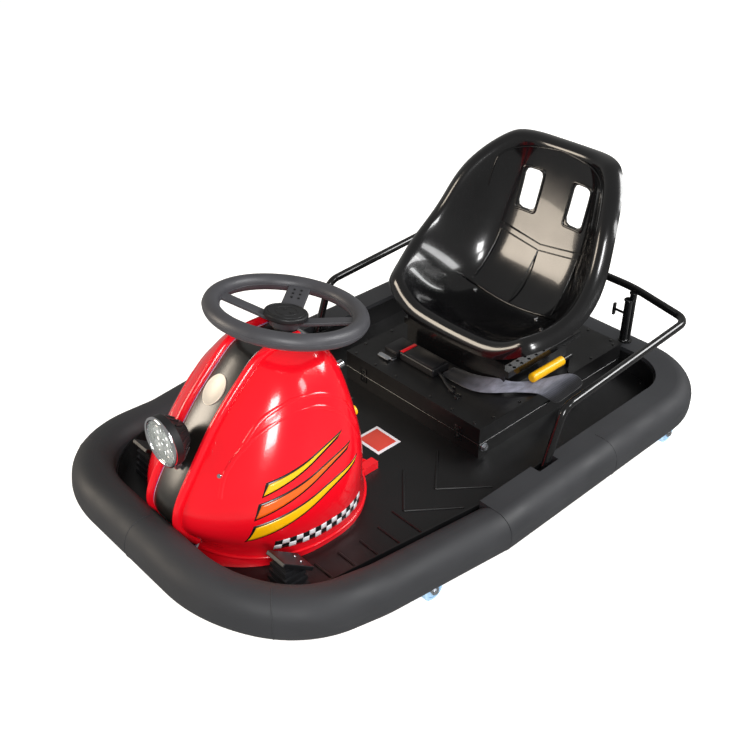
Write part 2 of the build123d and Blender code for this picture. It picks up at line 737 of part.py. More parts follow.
# Webbing slung across the lid and down its left side: X and Y of its edges on the lid, Y and Z on the side
STRAP_T = 4.0
STRAP_OUT = BOX_HALF + STRAP_T
STRAP_TOP = LID_TOP + STRAP_T
STRAP_FRONT = 256.0
STRAP_REAR = 385.0
STRAP_ON_LID = (
    (14.0, 152.0), (118.0, 158.0), (180.0, 228.0), (STRAP_OUT, STRAP_FRONT),
    (STRAP_OUT, STRAP_REAR), (178.0, 300.0), (154.0, 204.0), (14.0, 198.0),
)
STRAP_ON_SIDE = ((STRAP_FRONT, STRAP_TOP), (STRAP_REAR, STRAP_TOP), (425.0, 132.0), (330.0, 122.0))


def make_belt_webbing():
    over = extrude(Pos(0, 0, LID_TOP) * make_face(Polyline(*STRAP_ON_LID, close=True)), STRAP_T)
    down = plate(make_face(Polyline(*STRAP_ON_SIDE, close=True)), BOX_HALF, STRAP_T)
    return over + down


# Guard rail welded to its rear posts, with a flag tube and its thumb screw
RAIL_R = 9.0
RAIL_BEND = 36.0
RAIL_BOW = 300.0
RAIL_X = RING_HALF - 31.0
# Left half of the rail from its foot to the rear post
RAIL_POINTS = ((RAIL_X, 88.0, 112.0), (RAIL_X, 145.0, 276.0), (RAIL_X, 574.0, 304.0), (190.0, 610.0, 306.0))
POST_X = 198.0
POST_Y = 605.0
POST_R = 8.0
POST_FOOT_R = 13.0
POST_FOOT_T = 4.0
POST_LOW = BUMPER_TOP + SEAT_GAP
POST_HIGH = 304.0
FLAG_R = 9.0
FLAG_BORE_R = 6.0
FLAG_FLOOR = 4.0
FLAG_Y = POST_Y - POST_R - FLAG_R - SEAT_GAP
FLAG_LOW = 172.0
FLAG_HIGH = 286.0
SCREW_Z = 246.0
SCREW_R = 3.0
SCREW_START = POST_X - FLAG_R - SEAT_GAP
SCREW_L = 24.0
WING_T = 5.0
WING_HALF_W = 4.0
WING_HALF_H = 15.0


def make_guard_rail():
    right = [(-x, y, z) for x, y, z in reversed(RAIL_POINTS)]
    radii = [RAIL_BEND, RAIL_BEND, RAIL_BOW, RAIL_BOW, RAIL_BEND, RAIL_BEND]
    rail = tube(RAIL_POINTS + tuple(right), radii, RAIL_R)
    for x in (-POST_X, POST_X):
        rail += rod((x, POST_Y, POST_LOW), (x, POST_Y, POST_HIGH), POST_R)
        rail += rod((x, POST_Y, POST_LOW), (x, POST_Y, POST_LOW + POST_FOOT_T), POST_FOOT_R)
    return rail


def make_flag_tube():
    outer = rod((POST_X, FLAG_Y, FLAG_LOW), (POST_X, FLAG_Y, FLAG_HIGH), FLAG_R)
    return outer - rod((POST_X, FLAG_Y, FLAG_LOW + FLAG_FLOOR), (POST_X, FLAG_Y, FAR), FLAG_BORE_R)


def make_thumb_screw():
    end = SCREW_START - SCREW_L
    shank = rod((SCREW_START, FLAG_Y, SCREW_Z), (end, FLAG_Y, SCREW_Z), SCREW_R)
    wing = block((end - WING_T, FLAG_Y - WING_HALF_W, SCREW_Z - WING_HALF_H),
                 (end, FLAG_Y + WING_HALF_W, SCREW_Z + WING_HALF_H))
    return shank + wing


COWL_LEFT = make_cowl_left()
NODES = {
    "floor_tray": make_floor_tray(),
    "tub_wall": make_tub_wall(),
    "under_frame": make_under_frame(),
    "bumper_front": make_bumper_front(),
    "bumper_rear": make_bumper_rear(),
    "steering_head": make_steering_head(),
    "cowl_left": COWL_LEFT,
    "cowl_right": mirrored(COWL_LEFT),
    "cowl_spine": make_cowl_spine(),
    "lamp_shell": make_lamp_shell(),
    "lamp_reflector": make_lamp_reflector(),
    "lamp_lens": make_lamp_lens(),
    "lamp_bracket": make_lamp_bracket(),
    "battery_tray": make_battery_tray(),
    "battery_lid": make_battery_lid(),
    "battery_block": make_battery_block(),
    "seat_shell": make_seat_shell(),
    "seat_pedestal": make_seat_pedestal(),
    "seat_runners": make_seat_runners(),
    "seat_lever": make_seat_lever(),
    "belt_webbing": make_belt_webbing(),
    "guard_rail": make_guard_rail(),
    "flag_tube": make_flag_tube(),
    "thumb_screw": make_thumb_screw(),
    "steering_wheel": make_steering_wheel(),
    "steering_pad": make_steering_pad(),
    "steering_column": make_steering_column(),
    "drive_fork": make_drive_fork(),
    "drive_axle": make_drive_axle(),
    "drive_rim": make_drive_rim(),
    "drive_tyre": make_drive_tyre(),
}
for node, (low, high, rounding) in BELT.items():
    NODES[node] = fillet(block(low, high).edges(), rounding)
for node, row in KNOBS.items():
    NODES[node] = make_knob(*row)
for ending, sign in (("left", 1), ("right", -1)):
    NODES[f"pedal_{ending}"] = make_pedal(sign)
    NODES[f"pedal_boot_{ending}"] = make_pedal_boot(sign)
for ending, pin_x, pin_y in CASTERS:
    NODES[f"caster_yoke_{ending}"] = make_caster_yoke(pin_x, pin_y)
    NODES[f"caster_wheel_{ending}"] = make_caster_wheel(pin_x, pin_y)
for node, shape in NODES.items():
    save(node, shape)
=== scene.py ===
"""Looks of the electric bumper kart: finishes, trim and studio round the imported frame, in metres."""
from collections import namedtuple
from math import ceil, cos, pi, radians, sin

import bmesh
import bpy
from bpy.props import FloatProperty, FloatVectorProperty, IntProperty, PointerProperty
from bpy.types import Operator, Panel, PropertyGroup
from mathutils import Matrix, Vector
from mathutils.bvhtree import BVHTree


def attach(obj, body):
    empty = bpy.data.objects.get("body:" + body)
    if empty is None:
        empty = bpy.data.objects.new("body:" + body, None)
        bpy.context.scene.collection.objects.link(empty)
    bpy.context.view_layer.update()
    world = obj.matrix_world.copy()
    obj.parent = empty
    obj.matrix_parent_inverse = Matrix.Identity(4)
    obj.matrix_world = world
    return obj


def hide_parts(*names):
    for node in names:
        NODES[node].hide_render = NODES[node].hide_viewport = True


bl_info = {
    "name": "Bumper Kart Looks",
    "version": (1, 0, 0),
    "blender": (4, 5, 0),
    "location": "View3D > Sidebar > Kart",
    "description": "Finishes, trim and studio for the electric bumper kart",
    "category": "Object",
}

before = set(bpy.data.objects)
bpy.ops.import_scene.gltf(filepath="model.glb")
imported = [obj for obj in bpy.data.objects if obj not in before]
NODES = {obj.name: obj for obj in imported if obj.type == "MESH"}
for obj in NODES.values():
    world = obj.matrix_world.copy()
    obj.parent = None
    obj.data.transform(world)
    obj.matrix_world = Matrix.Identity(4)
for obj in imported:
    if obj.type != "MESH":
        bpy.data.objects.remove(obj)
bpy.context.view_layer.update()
# Lengths and places below are in millimetres, apart from the studio's, and MM turns them to metres
MM = 0.001
SIDES = (-1, 1)
FULL_TURN = 2 * pi
UP = Vector((0, 0, 1))
# Curve of sRGB: end of its straight part, slope there, shift and power
SRGB_KNEE = 0.04045
SRGB_SLOPE = 12.92
SRGB_SHIFT = 0.055
SRGB_POWER = 2.4
BYTE_TOP = 255


def linear(code):
    """Linear colour, fully opaque, of an sRGB hex code."""
    parts = [part / BYTE_TOP for part in bytes.fromhex(code[1:])]
    return tuple(part / SRGB_SLOPE if part <= SRGB_KNEE
                 else ((part + SRGB_SHIFT) / (1 + SRGB_SHIFT)) ** SRGB_POWER for part in parts) + (1.0,)


def colour(name, description, code):
    """Property for a colour."""
    return FloatVectorProperty(name=name, description=description, subtype="COLOR", size=4,
                               min=0.0, max=1.0, default=linear(code))


def length(name, description, millimetres):
    """Property for a length, given in millimetres."""
    return FloatProperty(name=name, description=description, unit="LENGTH", min=0.0,
                         default=millimetres * MM, precision=4)


def power(name, description, watts):
    """Property for the power of a lamp."""
    return FloatProperty(name=name, description=description, unit="POWER", min=0.0, default=watts)


def strength(name, description, value):
    """Property for an even glow."""
    return FloatProperty(name=name, description=description, min=0.0, default=value)


class KartColours(PropertyGroup):
    """Colours a user would change."""
    cowl: colour("Cowl", "Moulded colour of the cowl halves", "#F00E20")
    spine: colour("Centre strip", "Film on the cowl's centre strip", "#161513")
    stripe: colour("Pale stripe", "Pale lines along the centre strip", "#F4F2F6")
    accent: colour("Violet stripe", "Thin line between the pale ones", "#6A4BB8")
    rubber: colour("Bumper rubber", "Charcoal of the bumper ring", "#2C2D30")
    paint: colour("Black paint", "Paint on the tub, box and frame", "#0D0D0E")
    gloss: colour("Seat black", "Moulded colour of the seat", "#08080A")
    foam: colour("Hand wheel", "Skin of the hand wheel", "#434347")
    plastic: colour("Black plastic", "Pedals, buckle and lamp body", "#141416")
    zinc: colour("Zinc plate", "Casters, bolts and bracket", "#C8CBD0")
    chrome: colour("Chrome plate", "Lamp bezel and cups", "#E6E7EA")
    badge: colour("Badge", "Bare oval on the strip", "#D3CBBF")
    alloy: colour("Cast alloy", "Drive wheel's rim", "#A2A4A8")
    tyre: colour("Tyre", "Drive wheel's rubber", "#17171A")
    caster: colour("Caster wheel", "Pale wheel of the casters", "#A9CBE6")
    lever: colour("Yellow", "Slide lever and horn knob", "#FFBE08")
    orange: colour("Orange", "Warm bar of the side design", "#F0640F")
    button: colour("Red button", "Buckle's release strip", "#D9121E")
    web: colour("Webbing", "Belt webbing", "#5C5D68")
    plate: colour("Floor plate", "Blank plate on the floor", "#DB4A3A")


class KartSizes(PropertyGroup):
    """Sizes of the small pieces."""
    bead: length("Moulding", "Radius of the cowl's mouldings", 3.5)
    crease: length("Seat line", "Radius of the raised lines in the seat", 1.7)
    rib: length("Floor rib", "Radius of the pressed ribs in the floor", 3.0)
    bolt: length("Bolt head", "Radius of the lid's bolt heads", 3.6)
    rivet: length("Rivet head", "Radius of the cowl's rivets", 4.2)
    film: length("Film", "Thickness of the printed films", 0.35)
    web: length("Webbing width", "Width over which the weave is laid out", 50.0)
    blocks: IntProperty(name="Tread steps", description="Steps of tread round the tyre", default=72, min=24)


class KartStudio(PropertyGroup):
    """Camera and light."""
    lens: FloatProperty(name="Lens", description="Focal length in millimetres", unit="CAMERA", min=10.0,
                        default=48.67)
    key: power("Key light", "Power of the warm card in front", 72.0)
    pane: power("Panes", "Power of each pane beside the camera", 50.0)
    window: power("Windows", "Power of each window at the side", 18.0)
    rear: power("Rear light", "Power of the light behind", 85.0)
    sky: strength("Room light", "Strength of the even room light", 0.30)
    sweep: strength("Floor light", "Light from below the white floor", 0.75)


def colours():
    """Colours as the user has set them."""
    return bpy.context.scene.kart_colours


def sizes():
    """Sizes as the user has set them."""
    return bpy.context.scene.kart_sizes


def at(x, y, z):
    """Point given in millimetres."""
    return Vector((x, y, z)) * MM


# Finishes

# Sockets of a Mix node set to colour
MIX_A = 6
MIX_B = 7
MIX_OUT = 2


def add(tree, kind, inputs=None, **settings):
    """Add a node with its settings, and give its sockets values or links."""
    made = tree.nodes.new(kind)
    for name, value in settings.items():
        setattr(made, name, value)
    for name, value in (inputs or {}).items():
        if isinstance(value, bpy.types.NodeSocket):
            tree.links.new(value, made.inputs[name])
        else:
            made.inputs[name].default_value = value
    return made


def tinted(shade, factor):
    """A lighter or darker colour."""
    return tuple(part * factor for part in shade[:3]) + (1.0,)


# Name, colour, lowest and highest roughness, metallic, clear coat, grain in millimetres and its height,
# size of the patches in millimetres and how far they leave the colour
Finish = namedtuple("Finish", "name colour low high metal coat grain height patch shift")
FINISHES = (
    # Polished ABS mouldings: deep colour, sharp reflections and a faint orange peel
    Finish("gloss_red_abs", "cowl", 0.12, 0.18, 0.0, 0.3, 9.0, 0.02, 160.0, 0.05),
    Finish("gloss_black_abs", "gloss", 0.16, 0.24, 0.0, 0.5, 14.0, 0.01, 90.0, 0.25),
    Finish("yellow_vinyl_dip", "lever", 0.28, 0.38, 0.0, 0.2, 4.0, 0.05, 30.0, 0.12),
    Finish("red_nylon_button", "button", 0.25, 0.35, 0.0, 0.2, 2.0, 0.02, 15.0, 0.08),
    # Spark-eroded ABS and nylon: even satin with a fine grain
    Finish("satin_black_nylon", "plastic", 0.34, 0.46, 0.0, 0.0, 1.6, 0.05, 40.0, 0.2),
    Finish("grained_black_abs", "plastic", 0.42, 0.55, 0.0, 0.0, 2.4, 0.16, 30.0, 0.25),
    # Integral-skin foam: dull, leather-like grain
    Finish("grained_foam_skin", "foam", 0.36, 0.48, 0.0, 0.0, 1.8, 0.10, 35.0, 0.2),
    # Moulded rubber: dull charcoal with grey bloom and rubbed patches
    Finish("charcoal_rubber", "rubber", 0.50, 0.72, 0.0, 0.0, 3.0, 0.10, 110.0, 0.22),
    Finish("black_boot_rubber", "tyre", 0.48, 0.62, 0.0, 0.0, 1.5, 0.06, 25.0, 0.2),
    Finish("tyre_rubber", "tyre", 0.60, 0.80, 0.0, 0.0, 2.0, 0.12, 40.0, 0.3),
    # Powder coat on sheet steel: soft sheen and a fine pebble
    Finish("black_powder_coat", "paint", 0.34, 0.50, 0.0, 0.0, 1.4, 0.05, 140.0, 0.35),
    Finish("black_gloss_enamel", "paint", 0.16, 0.26, 0.0, 0.3, 5.0, 0.008, 80.0, 0.25),
    # Plated and cast metals
    Finish("zinc_plate", "zinc", 0.22, 0.38, 1.0, 0.0, 3.0, 0.02, 12.0, 0.18),
    Finish("chrome_plate", "chrome", 0.05, 0.10, 1.0, 0.0, 8.0, 0.01, 30.0, 0.05),
    Finish("satin_anodised_plate", "badge", 0.40, 0.50, 0.3, 0.0, 2.0, 0.02, 20.0, 0.06),
    Finish("cast_aluminium", "alloy", 0.38, 0.55, 1.0, 0.0, 1.2, 0.08, 25.0, 0.15),
    # Cast polyurethane of the caster wheels: pale, slightly waxy
    Finish("pale_blue_polyurethane", "caster", 0.32, 0.45, 0.0, 0.0, 3.0, 0.03, 14.0, 0.08),
    # Printed vinyl films
    Finish("white_vinyl_film", "stripe", 0.25, 0.32, 0.0, 0.3, 6.0, 0.01, 60.0, 0.03),
    Finish("black_vinyl_film", "plastic", 0.22, 0.30, 0.0, 0.3, 6.0, 0.01, 60.0, 0.1),
    Finish("yellow_vinyl_film", "lever", 0.22, 0.30, 0.0, 0.3, 6.0, 0.01, 60.0, 0.06),
    Finish("orange_vinyl_film", "orange", 0.22, 0.30, 0.0, 0.3, 6.0, 0.01, 60.0, 0.06),
    Finish("red_vinyl_film", "plate", 0.30, 0.40, 0.0, 0.2, 6.0, 0.01, 30.0, 0.06),
)
# CAD nodes that take each finish, by the start of their names
NODE_FINISHES = {
    "charcoal_rubber": ("bumper_",),
    "black_powder_coat": ("floor_tray", "tub_wall", "under_frame", "steering_head", "battery_lid",
                          "battery_tray", "thumb_screw", "drive_fork"),
    "black_gloss_enamel": ("steering_column", "seat_pedestal", "seat_runners", "guard_rail", "flag_tube"),
    "grained_foam_skin": ("steering_wheel",),
    "grained_black_abs": ("steering_pad", "lamp_shell"),
    "gloss_red_abs": ("cowl_left", "cowl_right"),
    "striped_black_film": ("cowl_spine",),
    "chrome_plate": ("lamp_reflector", "key_switch"),
    "clear_polycarbonate": ("lamp_lens",),
    "zinc_plate": ("lamp_bracket", "drive_axle", "caster_yoke_"),
    "satin_black_nylon": ("battery_block", "belt_", "pedal_left", "pedal_right"),
    "gloss_black_abs": ("seat_shell",),
    "dipped_steel_lever": ("seat_lever",),
    "cast_aluminium": ("drive_rim",),
    "tyre_rubber": ("drive_tyre",),
    "yellow_vinyl_dip": ("horn_button",),
    "black_boot_rubber": ("pedal_boot_",),
    "pale_blue_polyurethane": ("caster_wheel_",),
}
# Values of a noise between which the gloss goes from end to end
PATCH_RANGE = (0.3, 0.7)
COAT_ROUGHNESS = 0.04


def new_tree(name):
    """A fresh material: its node tree, shader and place on the object."""
    made = bpy.data.materials.new(name)
    made.use_nodes = True
    tree = made.node_tree
    return tree, tree.nodes["Principled BSDF"], add(tree, "ShaderNodeTexCoord").outputs["Object"]


def make_finish(row):
    """Patches of tone and gloss over a fine grain."""
    tree, shader, place = new_tree(row.name)
    shade = getattr(colours(), row.colour)
    patch = add(tree, "ShaderNodeTexNoise", {"Vector": place, "Scale": 1 / (row.patch * MM), "Detail": 4.0})
    tone = add(tree, "ShaderNodeMix", {0: patch.outputs["Fac"], MIX_A: tinted(shade, 1 - row.shift),
                                       MIX_B: tinted(shade, 1 + row.shift)}, data_type="RGBA")
    gloss = add(tree, "ShaderNodeMapRange", {"Value": patch.outputs["Fac"], "From Min": PATCH_RANGE[0],
                                             "From Max": PATCH_RANGE[1], "To Min": row.low,
                                             "To Max": row.high})
    grain = add(tree, "ShaderNodeTexNoise", {"Vector": place, "Scale": 1 / (row.grain * MM), "Detail": 2.0})
    bump = add(tree, "ShaderNodeBump", {"Height": grain.outputs["Fac"], "Distance": row.height * MM,
                                        "Strength": 1.0})
    tree.links.new(tone.outputs[MIX_OUT], shader.inputs["Base Color"])
    tree.links.new(gloss.outputs["Result"], shader.inputs["Roughness"])
    tree.links.new(bump.outputs["Normal"], shader.inputs["Normal"])
    shader.inputs["Metallic"].default_value = row.metal
    shader.inputs["Coat Weight"].default_value = row.coat
    shader.inputs["Coat Roughness"].default_value = COAT_ROUGHNESS


# Stripes of the centre strip: middle and half width from the strip's own middle, in millimetres
PALE_STRIPE = (34.5, 3.5)
VIOLET_STRIPE = (33.2, 1.0)
STRIP_PATCH = 60.0
STRIP_GLOSS = (0.24, 0.36)
STRIP_COAT = 0.9
STRIP_COAT_ROUGHNESS = 0.22


def make_strip_film():
    """Satin black film on ABS with two thin lines along each edge."""
    tree, shader, place = new_tree("striped_black_film")
    across = add(tree, "ShaderNodeSeparateXYZ", {"Vector": place}).outputs["X"]
    reach = add(tree, "ShaderNodeMath", {0: across}, operation="ABSOLUTE").outputs["Value"]
    tone = colours().spine
    for (middle, half), shade in ((PALE_STRIPE, colours().stripe), (VIOLET_STRIPE, colours().accent)):
        inside = add(tree, "ShaderNodeMath", {0: reach, 1: middle * MM, 2: half * MM}, operation="COMPARE")
        tone = add(tree, "ShaderNodeMix", {0: inside.outputs["Value"], MIX_A: tone, MIX_B: shade},
                   data_type="RGBA").outputs[MIX_OUT]
    patch = add(tree, "ShaderNodeTexNoise", {"Vector": place, "Scale": 1 / (STRIP_PATCH * MM), "Detail": 3.0})
    gloss = add(tree, "ShaderNodeMapRange", {"Value": patch.outputs["Fac"], "To Min": STRIP_GLOSS[0],
                                             "To Max": STRIP_GLOSS[1]})
    tree.links.new(tone, shader.inputs["Base Color"])
    tree.links.new(gloss.outputs["Result"], shader.inputs["Roughness"])
    shader.inputs["Coat Weight"].default_value = STRIP_COAT
    shader.inputs["Coat Roughness"].default_value = STRIP_COAT_ROUGHNESS


LENS_TINT = "#DDE6E4"
LENS_ROUGHNESS = 0.03
LENS_IOR = 1.585
LENS_ALPHA = 0.22
# Spacing and height of the lens's ripples
RIPPLE = 9.0
RIPPLE_RISE = 0.05


def make_clear_lens():
    """Injection moulded polycarbonate: thin, clear and polished, hardly rippled."""
    tree, shader, place = new_tree("clear_polycarbonate")
    ripple = add(tree, "ShaderNodeTexNoise", {"Vector": place, "Scale": 1 / (RIPPLE * MM), "Detail": 1.0})
    bump = add(tree, "ShaderNodeBump", {"Height": ripple.outputs["Fac"], "Distance": RIPPLE_RISE * MM})
    tree.links.new(bump.outputs["Normal"], shader.inputs["Normal"])
    shader.inputs["Base Color"].default_value = linear(LENS_TINT)
    shader.inputs["Roughness"].default_value = LENS_ROUGHNESS
    shader.inputs["IOR"].default_value = LENS_IOR
    shader.inputs["Alpha"].default_value = LENS_ALPHA


# Where the dip on the slide lever ends, in millimetres along Y
DIP_END = 372.0
DIP_GLOSS = (0.25, 0.4)
DIP_SHADE = 0.88
# Size of the patches: rubbed tone on the lever, painted sheen on the belt
RUB_AND_SHEEN_PATCH = 22.0


def make_dipped_lever():
    """Bent steel rod in black enamel, its grip dipped in thick yellow vinyl."""
    tree, shader, place = new_tree("dipped_steel_lever")
    along = add(tree, "ShaderNodeSeparateXYZ", {"Vector": place}).outputs["Y"]
    steel = add(tree, "ShaderNodeMath", {0: along, 1: DIP_END * MM}, operation="GREATER_THAN")
    patch = add(tree, "ShaderNodeTexNoise", {"Vector": place, "Scale": 1 / (RUB_AND_SHEEN_PATCH * MM), "Detail": 3.0})
    vinyl = add(tree, "ShaderNodeMix", {0: patch.outputs["Fac"], MIX_A: tinted(colours().lever, DIP_SHADE),
                                        MIX_B: colours().lever}, data_type="RGBA").outputs[MIX_OUT]
    tone = add(tree, "ShaderNodeMix", {0: steel.outputs["Value"], MIX_A: vinyl, MIX_B: colours().paint},
               data_type="RGBA")
    gloss = add(tree, "ShaderNodeMapRange", {"Value": patch.outputs["Fac"], "To Min": DIP_GLOSS[0],
                                             "To Max": DIP_GLOSS[1]})
    tree.links.new(tone.outputs[MIX_OUT], shader.inputs["Base Color"])
    tree.links.new(gloss.outputs["Result"], shader.inputs["Roughness"])


# Thread spacing of the webbing, drawn twice too coarse so that it shows
THREAD = 2.4
# Runs over which the painted sheen of the belt's middle comes up out of painted shade and dies away into it
# again, from the buckle on
LIT_MIDDLE_RUN = ((40.0, 130.0), (330.0, 240.0))
# How much darker the hollows of the weave are
WEAVE_DEPTH = 0.5
# Shades of the painted shade at the ends and of the painted sheen in the middle
SHADE_AND_SHEEN_TONES = (0.12, 5.0)
# Waver and height of the threads
THREAD_WAVER = 0.6
THREAD_RISE = 0.3
WEB_ROUGHNESS = 0.5
WEB_SHEEN = 0.15
WEB_SHEEN_ROUGHNESS = 0.4
# Phase that a wave texture runs through in one unit at scale 1
WAVE_PHASE = 20.0


def make_webbing():
    """Flat-woven polyester belt: fine ribs across and along, a soft sheen, and painted sheen in the middle
    that fades into painted shade at both ends.
    """
    tree, shader, _ = new_tree("woven_polyester_web")
    sheet = add(tree, "ShaderNodeUVMap", uv_map="weave").outputs["UV"]
    ribs = [add(tree, "ShaderNodeTexWave", {"Vector": sheet, "Scale": FULL_TURN / (WAVE_PHASE * THREAD * MM),
                                            "Distortion": THREAD_WAVER}, bands_direction=way).outputs["Fac"]
            for way in ("X", "Y")]
    cloth = add(tree, "ShaderNodeMath", {0: ribs[0], 1: ribs[1]}, operation="MULTIPLY").outputs["Value"]
    shade = colours().web
    sheen_patch = add(tree, "ShaderNodeTexNoise", {"Vector": sheet, "Scale": 1 / (RUB_AND_SHEEN_PATCH * MM), "Detail": 3.0})
    along = add(tree, "ShaderNodeSeparateXYZ", {"Vector": sheet}).outputs["Y"]
    # Painted light: noise patches of painted sheen, faded in past the buckle and out where the belt hangs
    # down the side of the box, leaving painted shade at both ends
    painted_light = sheen_patch.outputs["Fac"]
    for start, end in LIT_MIDDLE_RUN:
        ramp = add(tree, "ShaderNodeMapRange", {"Value": along, "From Min": start * MM, "From Max": end * MM})
        painted_light = add(tree, "ShaderNodeMath", {0: painted_light, 1: ramp.outputs["Result"]},
                   operation="MULTIPLY").outputs["Value"]
    dark, pale = [tinted(shade, factor) for factor in SHADE_AND_SHEEN_TONES]
    lit_tone = add(tree, "ShaderNodeMix", {0: painted_light, MIX_A: dark, MIX_B: pale}, data_type="RGBA").outputs[MIX_OUT]
    tone = add(tree, "ShaderNodeMix", {0: WEAVE_DEPTH, MIX_A: lit_tone, MIX_B: cloth}, data_type="RGBA",
               blend_type="MULTIPLY").outputs[MIX_OUT]
    bump = add(tree, "ShaderNodeBump", {"Height": cloth, "Distance": THREAD_RISE * MM})
    tree.links.new(tone, shader.inputs["Base Color"])
    tree.links.new(bump.outputs["Normal"], shader.inputs["Normal"])
    shader.inputs["Roughness"].default_value = WEB_ROUGHNESS
    shader.inputs["Sheen Weight"].default_value = WEB_SHEEN
    shader.inputs["Sheen Roughness"].default_value = WEB_SHEEN_ROUGHNESS


class KART_OT_finishes(Operator):
    """Make every finish and give it to the CAD nodes"""
    bl_idname = "kart.finishes"
    bl_label = "Finishes"

    def execute(self, context):
        for row in FINISHES:
            make_finish(row)
        make_strip_film()
        make_clear_lens()
        make_webbing()
        make_dipped_lever()
        for name, made in NODES.items():
            finish = next(finish for finish, starts in NODE_FINISHES.items() if name.startswith(starts))
            made.material_slots[0].material = bpy.data.materials[finish]
        return {"FINISHED"}


# Making pieces

# Points nearer than this are one, and edges that turn by more than this stay sharp
WELD = 0.02 * MM
SHARP = radians(38)
BEAD_ROUND = 3
BEAD_STEPS = 6
HEAD_SIDES = 18
HEX_SIDES = 6
RING_STEPS = 24
SMOOTH_LEVELS = 3
# How far a head is sunk, and how far off a line starts that looks for a surface, both in metres
SINK = 0.6 * MM
AWAY = 0.8


def in_scene(name, bm):
    """Turn a bmesh into an object of the scene."""
    mesh = bpy.data.meshes.new(name)
    bm.to_mesh(mesh)
    bm.free()
    made = bpy.data.objects.new(name, mesh)
    bpy.context.scene.collection.objects.link(made)
    return made


def piece(name, bm, finish, slot, body="chassis"):
    """Turn a bmesh into a smooth-shaded object that rides on a body."""
    for face in bm.faces:
        face.smooth = True
    for edge in bm.edges:
        edge.smooth = edge.calc_face_angle(0.0) < SHARP
    made = in_scene(name, bm)
    made.data.materials.append(bpy.data.materials[finish])
    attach(made, body)
    return made


def closed_piece(name, bm, *rest):
    """A piece of closed shells: doubles merged and faces turned outwards first."""
    bmesh.ops.remove_doubles(bm, verts=bm.verts, dist=WELD)
    bmesh.ops.recalc_face_normals(bm, faces=bm.faces)
    return piece(name, bm, *rest)


def beads(name, lines, radius, *rest, closed=False):
    """Round mouldings of one radius along smooth lines."""
    curve = bpy.data.curves.new(name, "CURVE")
    curve.dimensions = "3D"
    curve.bevel_depth = radius
    curve.bevel_resolution = BEAD_ROUND
    curve.resolution_u = BEAD_STEPS
    curve.use_fill_caps = not closed
    for line in lines:
        spline = curve.splines.new("NURBS")
        spline.points.add(len(line) - 1)
        for point, place in zip(spline.points, line):
            point.co = (*place, 1.0)
        spline.order_u = 3
        spline.use_cyclic_u = closed
        spline.use_endpoint_u = not closed
    holder = bpy.data.objects.new(name, curve)
    bpy.context.scene.collection.objects.link(holder)
    ready = holder.evaluated_get(bpy.context.evaluated_depsgraph_get())
    mesh = bpy.data.meshes.new_from_object(ready)
    bm = bmesh.new()
    bm.from_mesh(mesh)
    bpy.data.objects.remove(holder)
    bpy.data.curves.remove(curve)
    bpy.data.meshes.remove(mesh)
    return closed_piece(name, bm, *rest)


def walled(made, thickness, offset):
    """Round off a sheet of few faces and give it a wall."""
    smooth = made.modifiers.new("curve", "SUBSURF")
    smooth.levels = smooth.render_levels = SMOOTH_LEVELS
    wall = made.modifiers.new("wall", "SOLIDIFY")
    wall.thickness = thickness
    wall.offset = offset


def bevelled(bm, edges, offset):
    """Round some edges."""
    bmesh.ops.bevel(bm, geom=edges, offset=offset, offset_type="OFFSET", segments=2, profile=0.5,
                    affect="EDGES", material=-1)


def head(bm, place, normal, radius, height, sides=HEAD_SIDES):
    """Bolt or rivet head that stands on a surface, with its outer edge rounded."""
    turn = normal.to_track_quat("Z", "Y").to_matrix().to_4x4()
    seat = Matrix.Translation(place + normal * (height / 2 - SINK)) @ turn
    made = bmesh.ops.create_cone(bm, cap_ends=True, cap_tris=False, segments=sides, radius1=radius,
                                 radius2=radius, depth=height, matrix=seat)["verts"]
    top = {vert for vert in made if (vert.co - place).dot(normal) > height / 2}
    bevelled(bm, [edge for edge in bm.edges if edge.verts[0] in top and edge.verts[1] in top], height / 4)


def slab(bm, low, high, rounding):
    """Box between two corners with rounded edges."""
    place = Matrix.Translation((high + low) / 2) @ Matrix.Diagonal((*(high - low), 1.0))
    made = bmesh.ops.create_cube(bm, size=1.0, matrix=place)["verts"]
    bevelled(bm, list({edge for vert in made for edge in vert.link_edges}), rounding)


def skin(*nodes):
    """Surface of some CAD nodes, to set pieces against."""
    return surface(*[NODES[node].data for node in nodes])


def surface(*meshes):
    """Surface of some meshes, to set pieces against."""
    corners = []
    faces = []
    for mesh in meshes:
        start = len(corners)
        corners.extend(vert.co.copy() for vert in mesh.vertices)
        faces.extend([start + n for n in face.vertices] for face in mesh.polygons)
    return BVHTree.FromPolygons(corners, faces)


def landed(tree, start, way):
    """Where a straight line meets a surface, and which way it faces there."""
    place, normal, _, _ = tree.ray_cast(start, way)
    if place is None:
        raise RuntimeError(f"nothing lies from {tuple(start)} towards {tuple(way)}")
    return place, normal


# Cowl trim

COWL = ("cowl_left", "cowl_right", "cowl_spine")
# Ridges beside the strip, found by turning about a pivot inside the cowl
RIDGE_X = 43.0
RIDGE_R = 9.0
RIDGE_RISE = 3.0
PIVOT = (-340.0, 235.0)
RIDGE_TURNS = range(-26, 112, 6)
# Moulding round the skirt, found the same way in plan
SKIRT_Y = -338.0
SKIRT_Z = 119.0
SKIRT_TURNS = range(-76, 79, 7)
# Lines pressed into the cowl's flank, as Y and Z
ARCHES = (
    ((-449, 356), (-432, 373), (-413, 391), (-385, 405), (-354, 414), (-326, 414), (-293, 406), (-260, 386),
     (-236, 352), (-226, 316)),
    ((-513, 268), (-499, 298), (-478, 325), (-457, 346), (-436, 363), (-396, 385), (-353, 396), (-310, 391),
     (-270, 367), (-244, 330), (-232, 292)),
)
# Rivets on the left half: X, Y and Z near the surface
RIVETS = ((84, -287, 453), (75, -407, 413), (89, -499, 303))
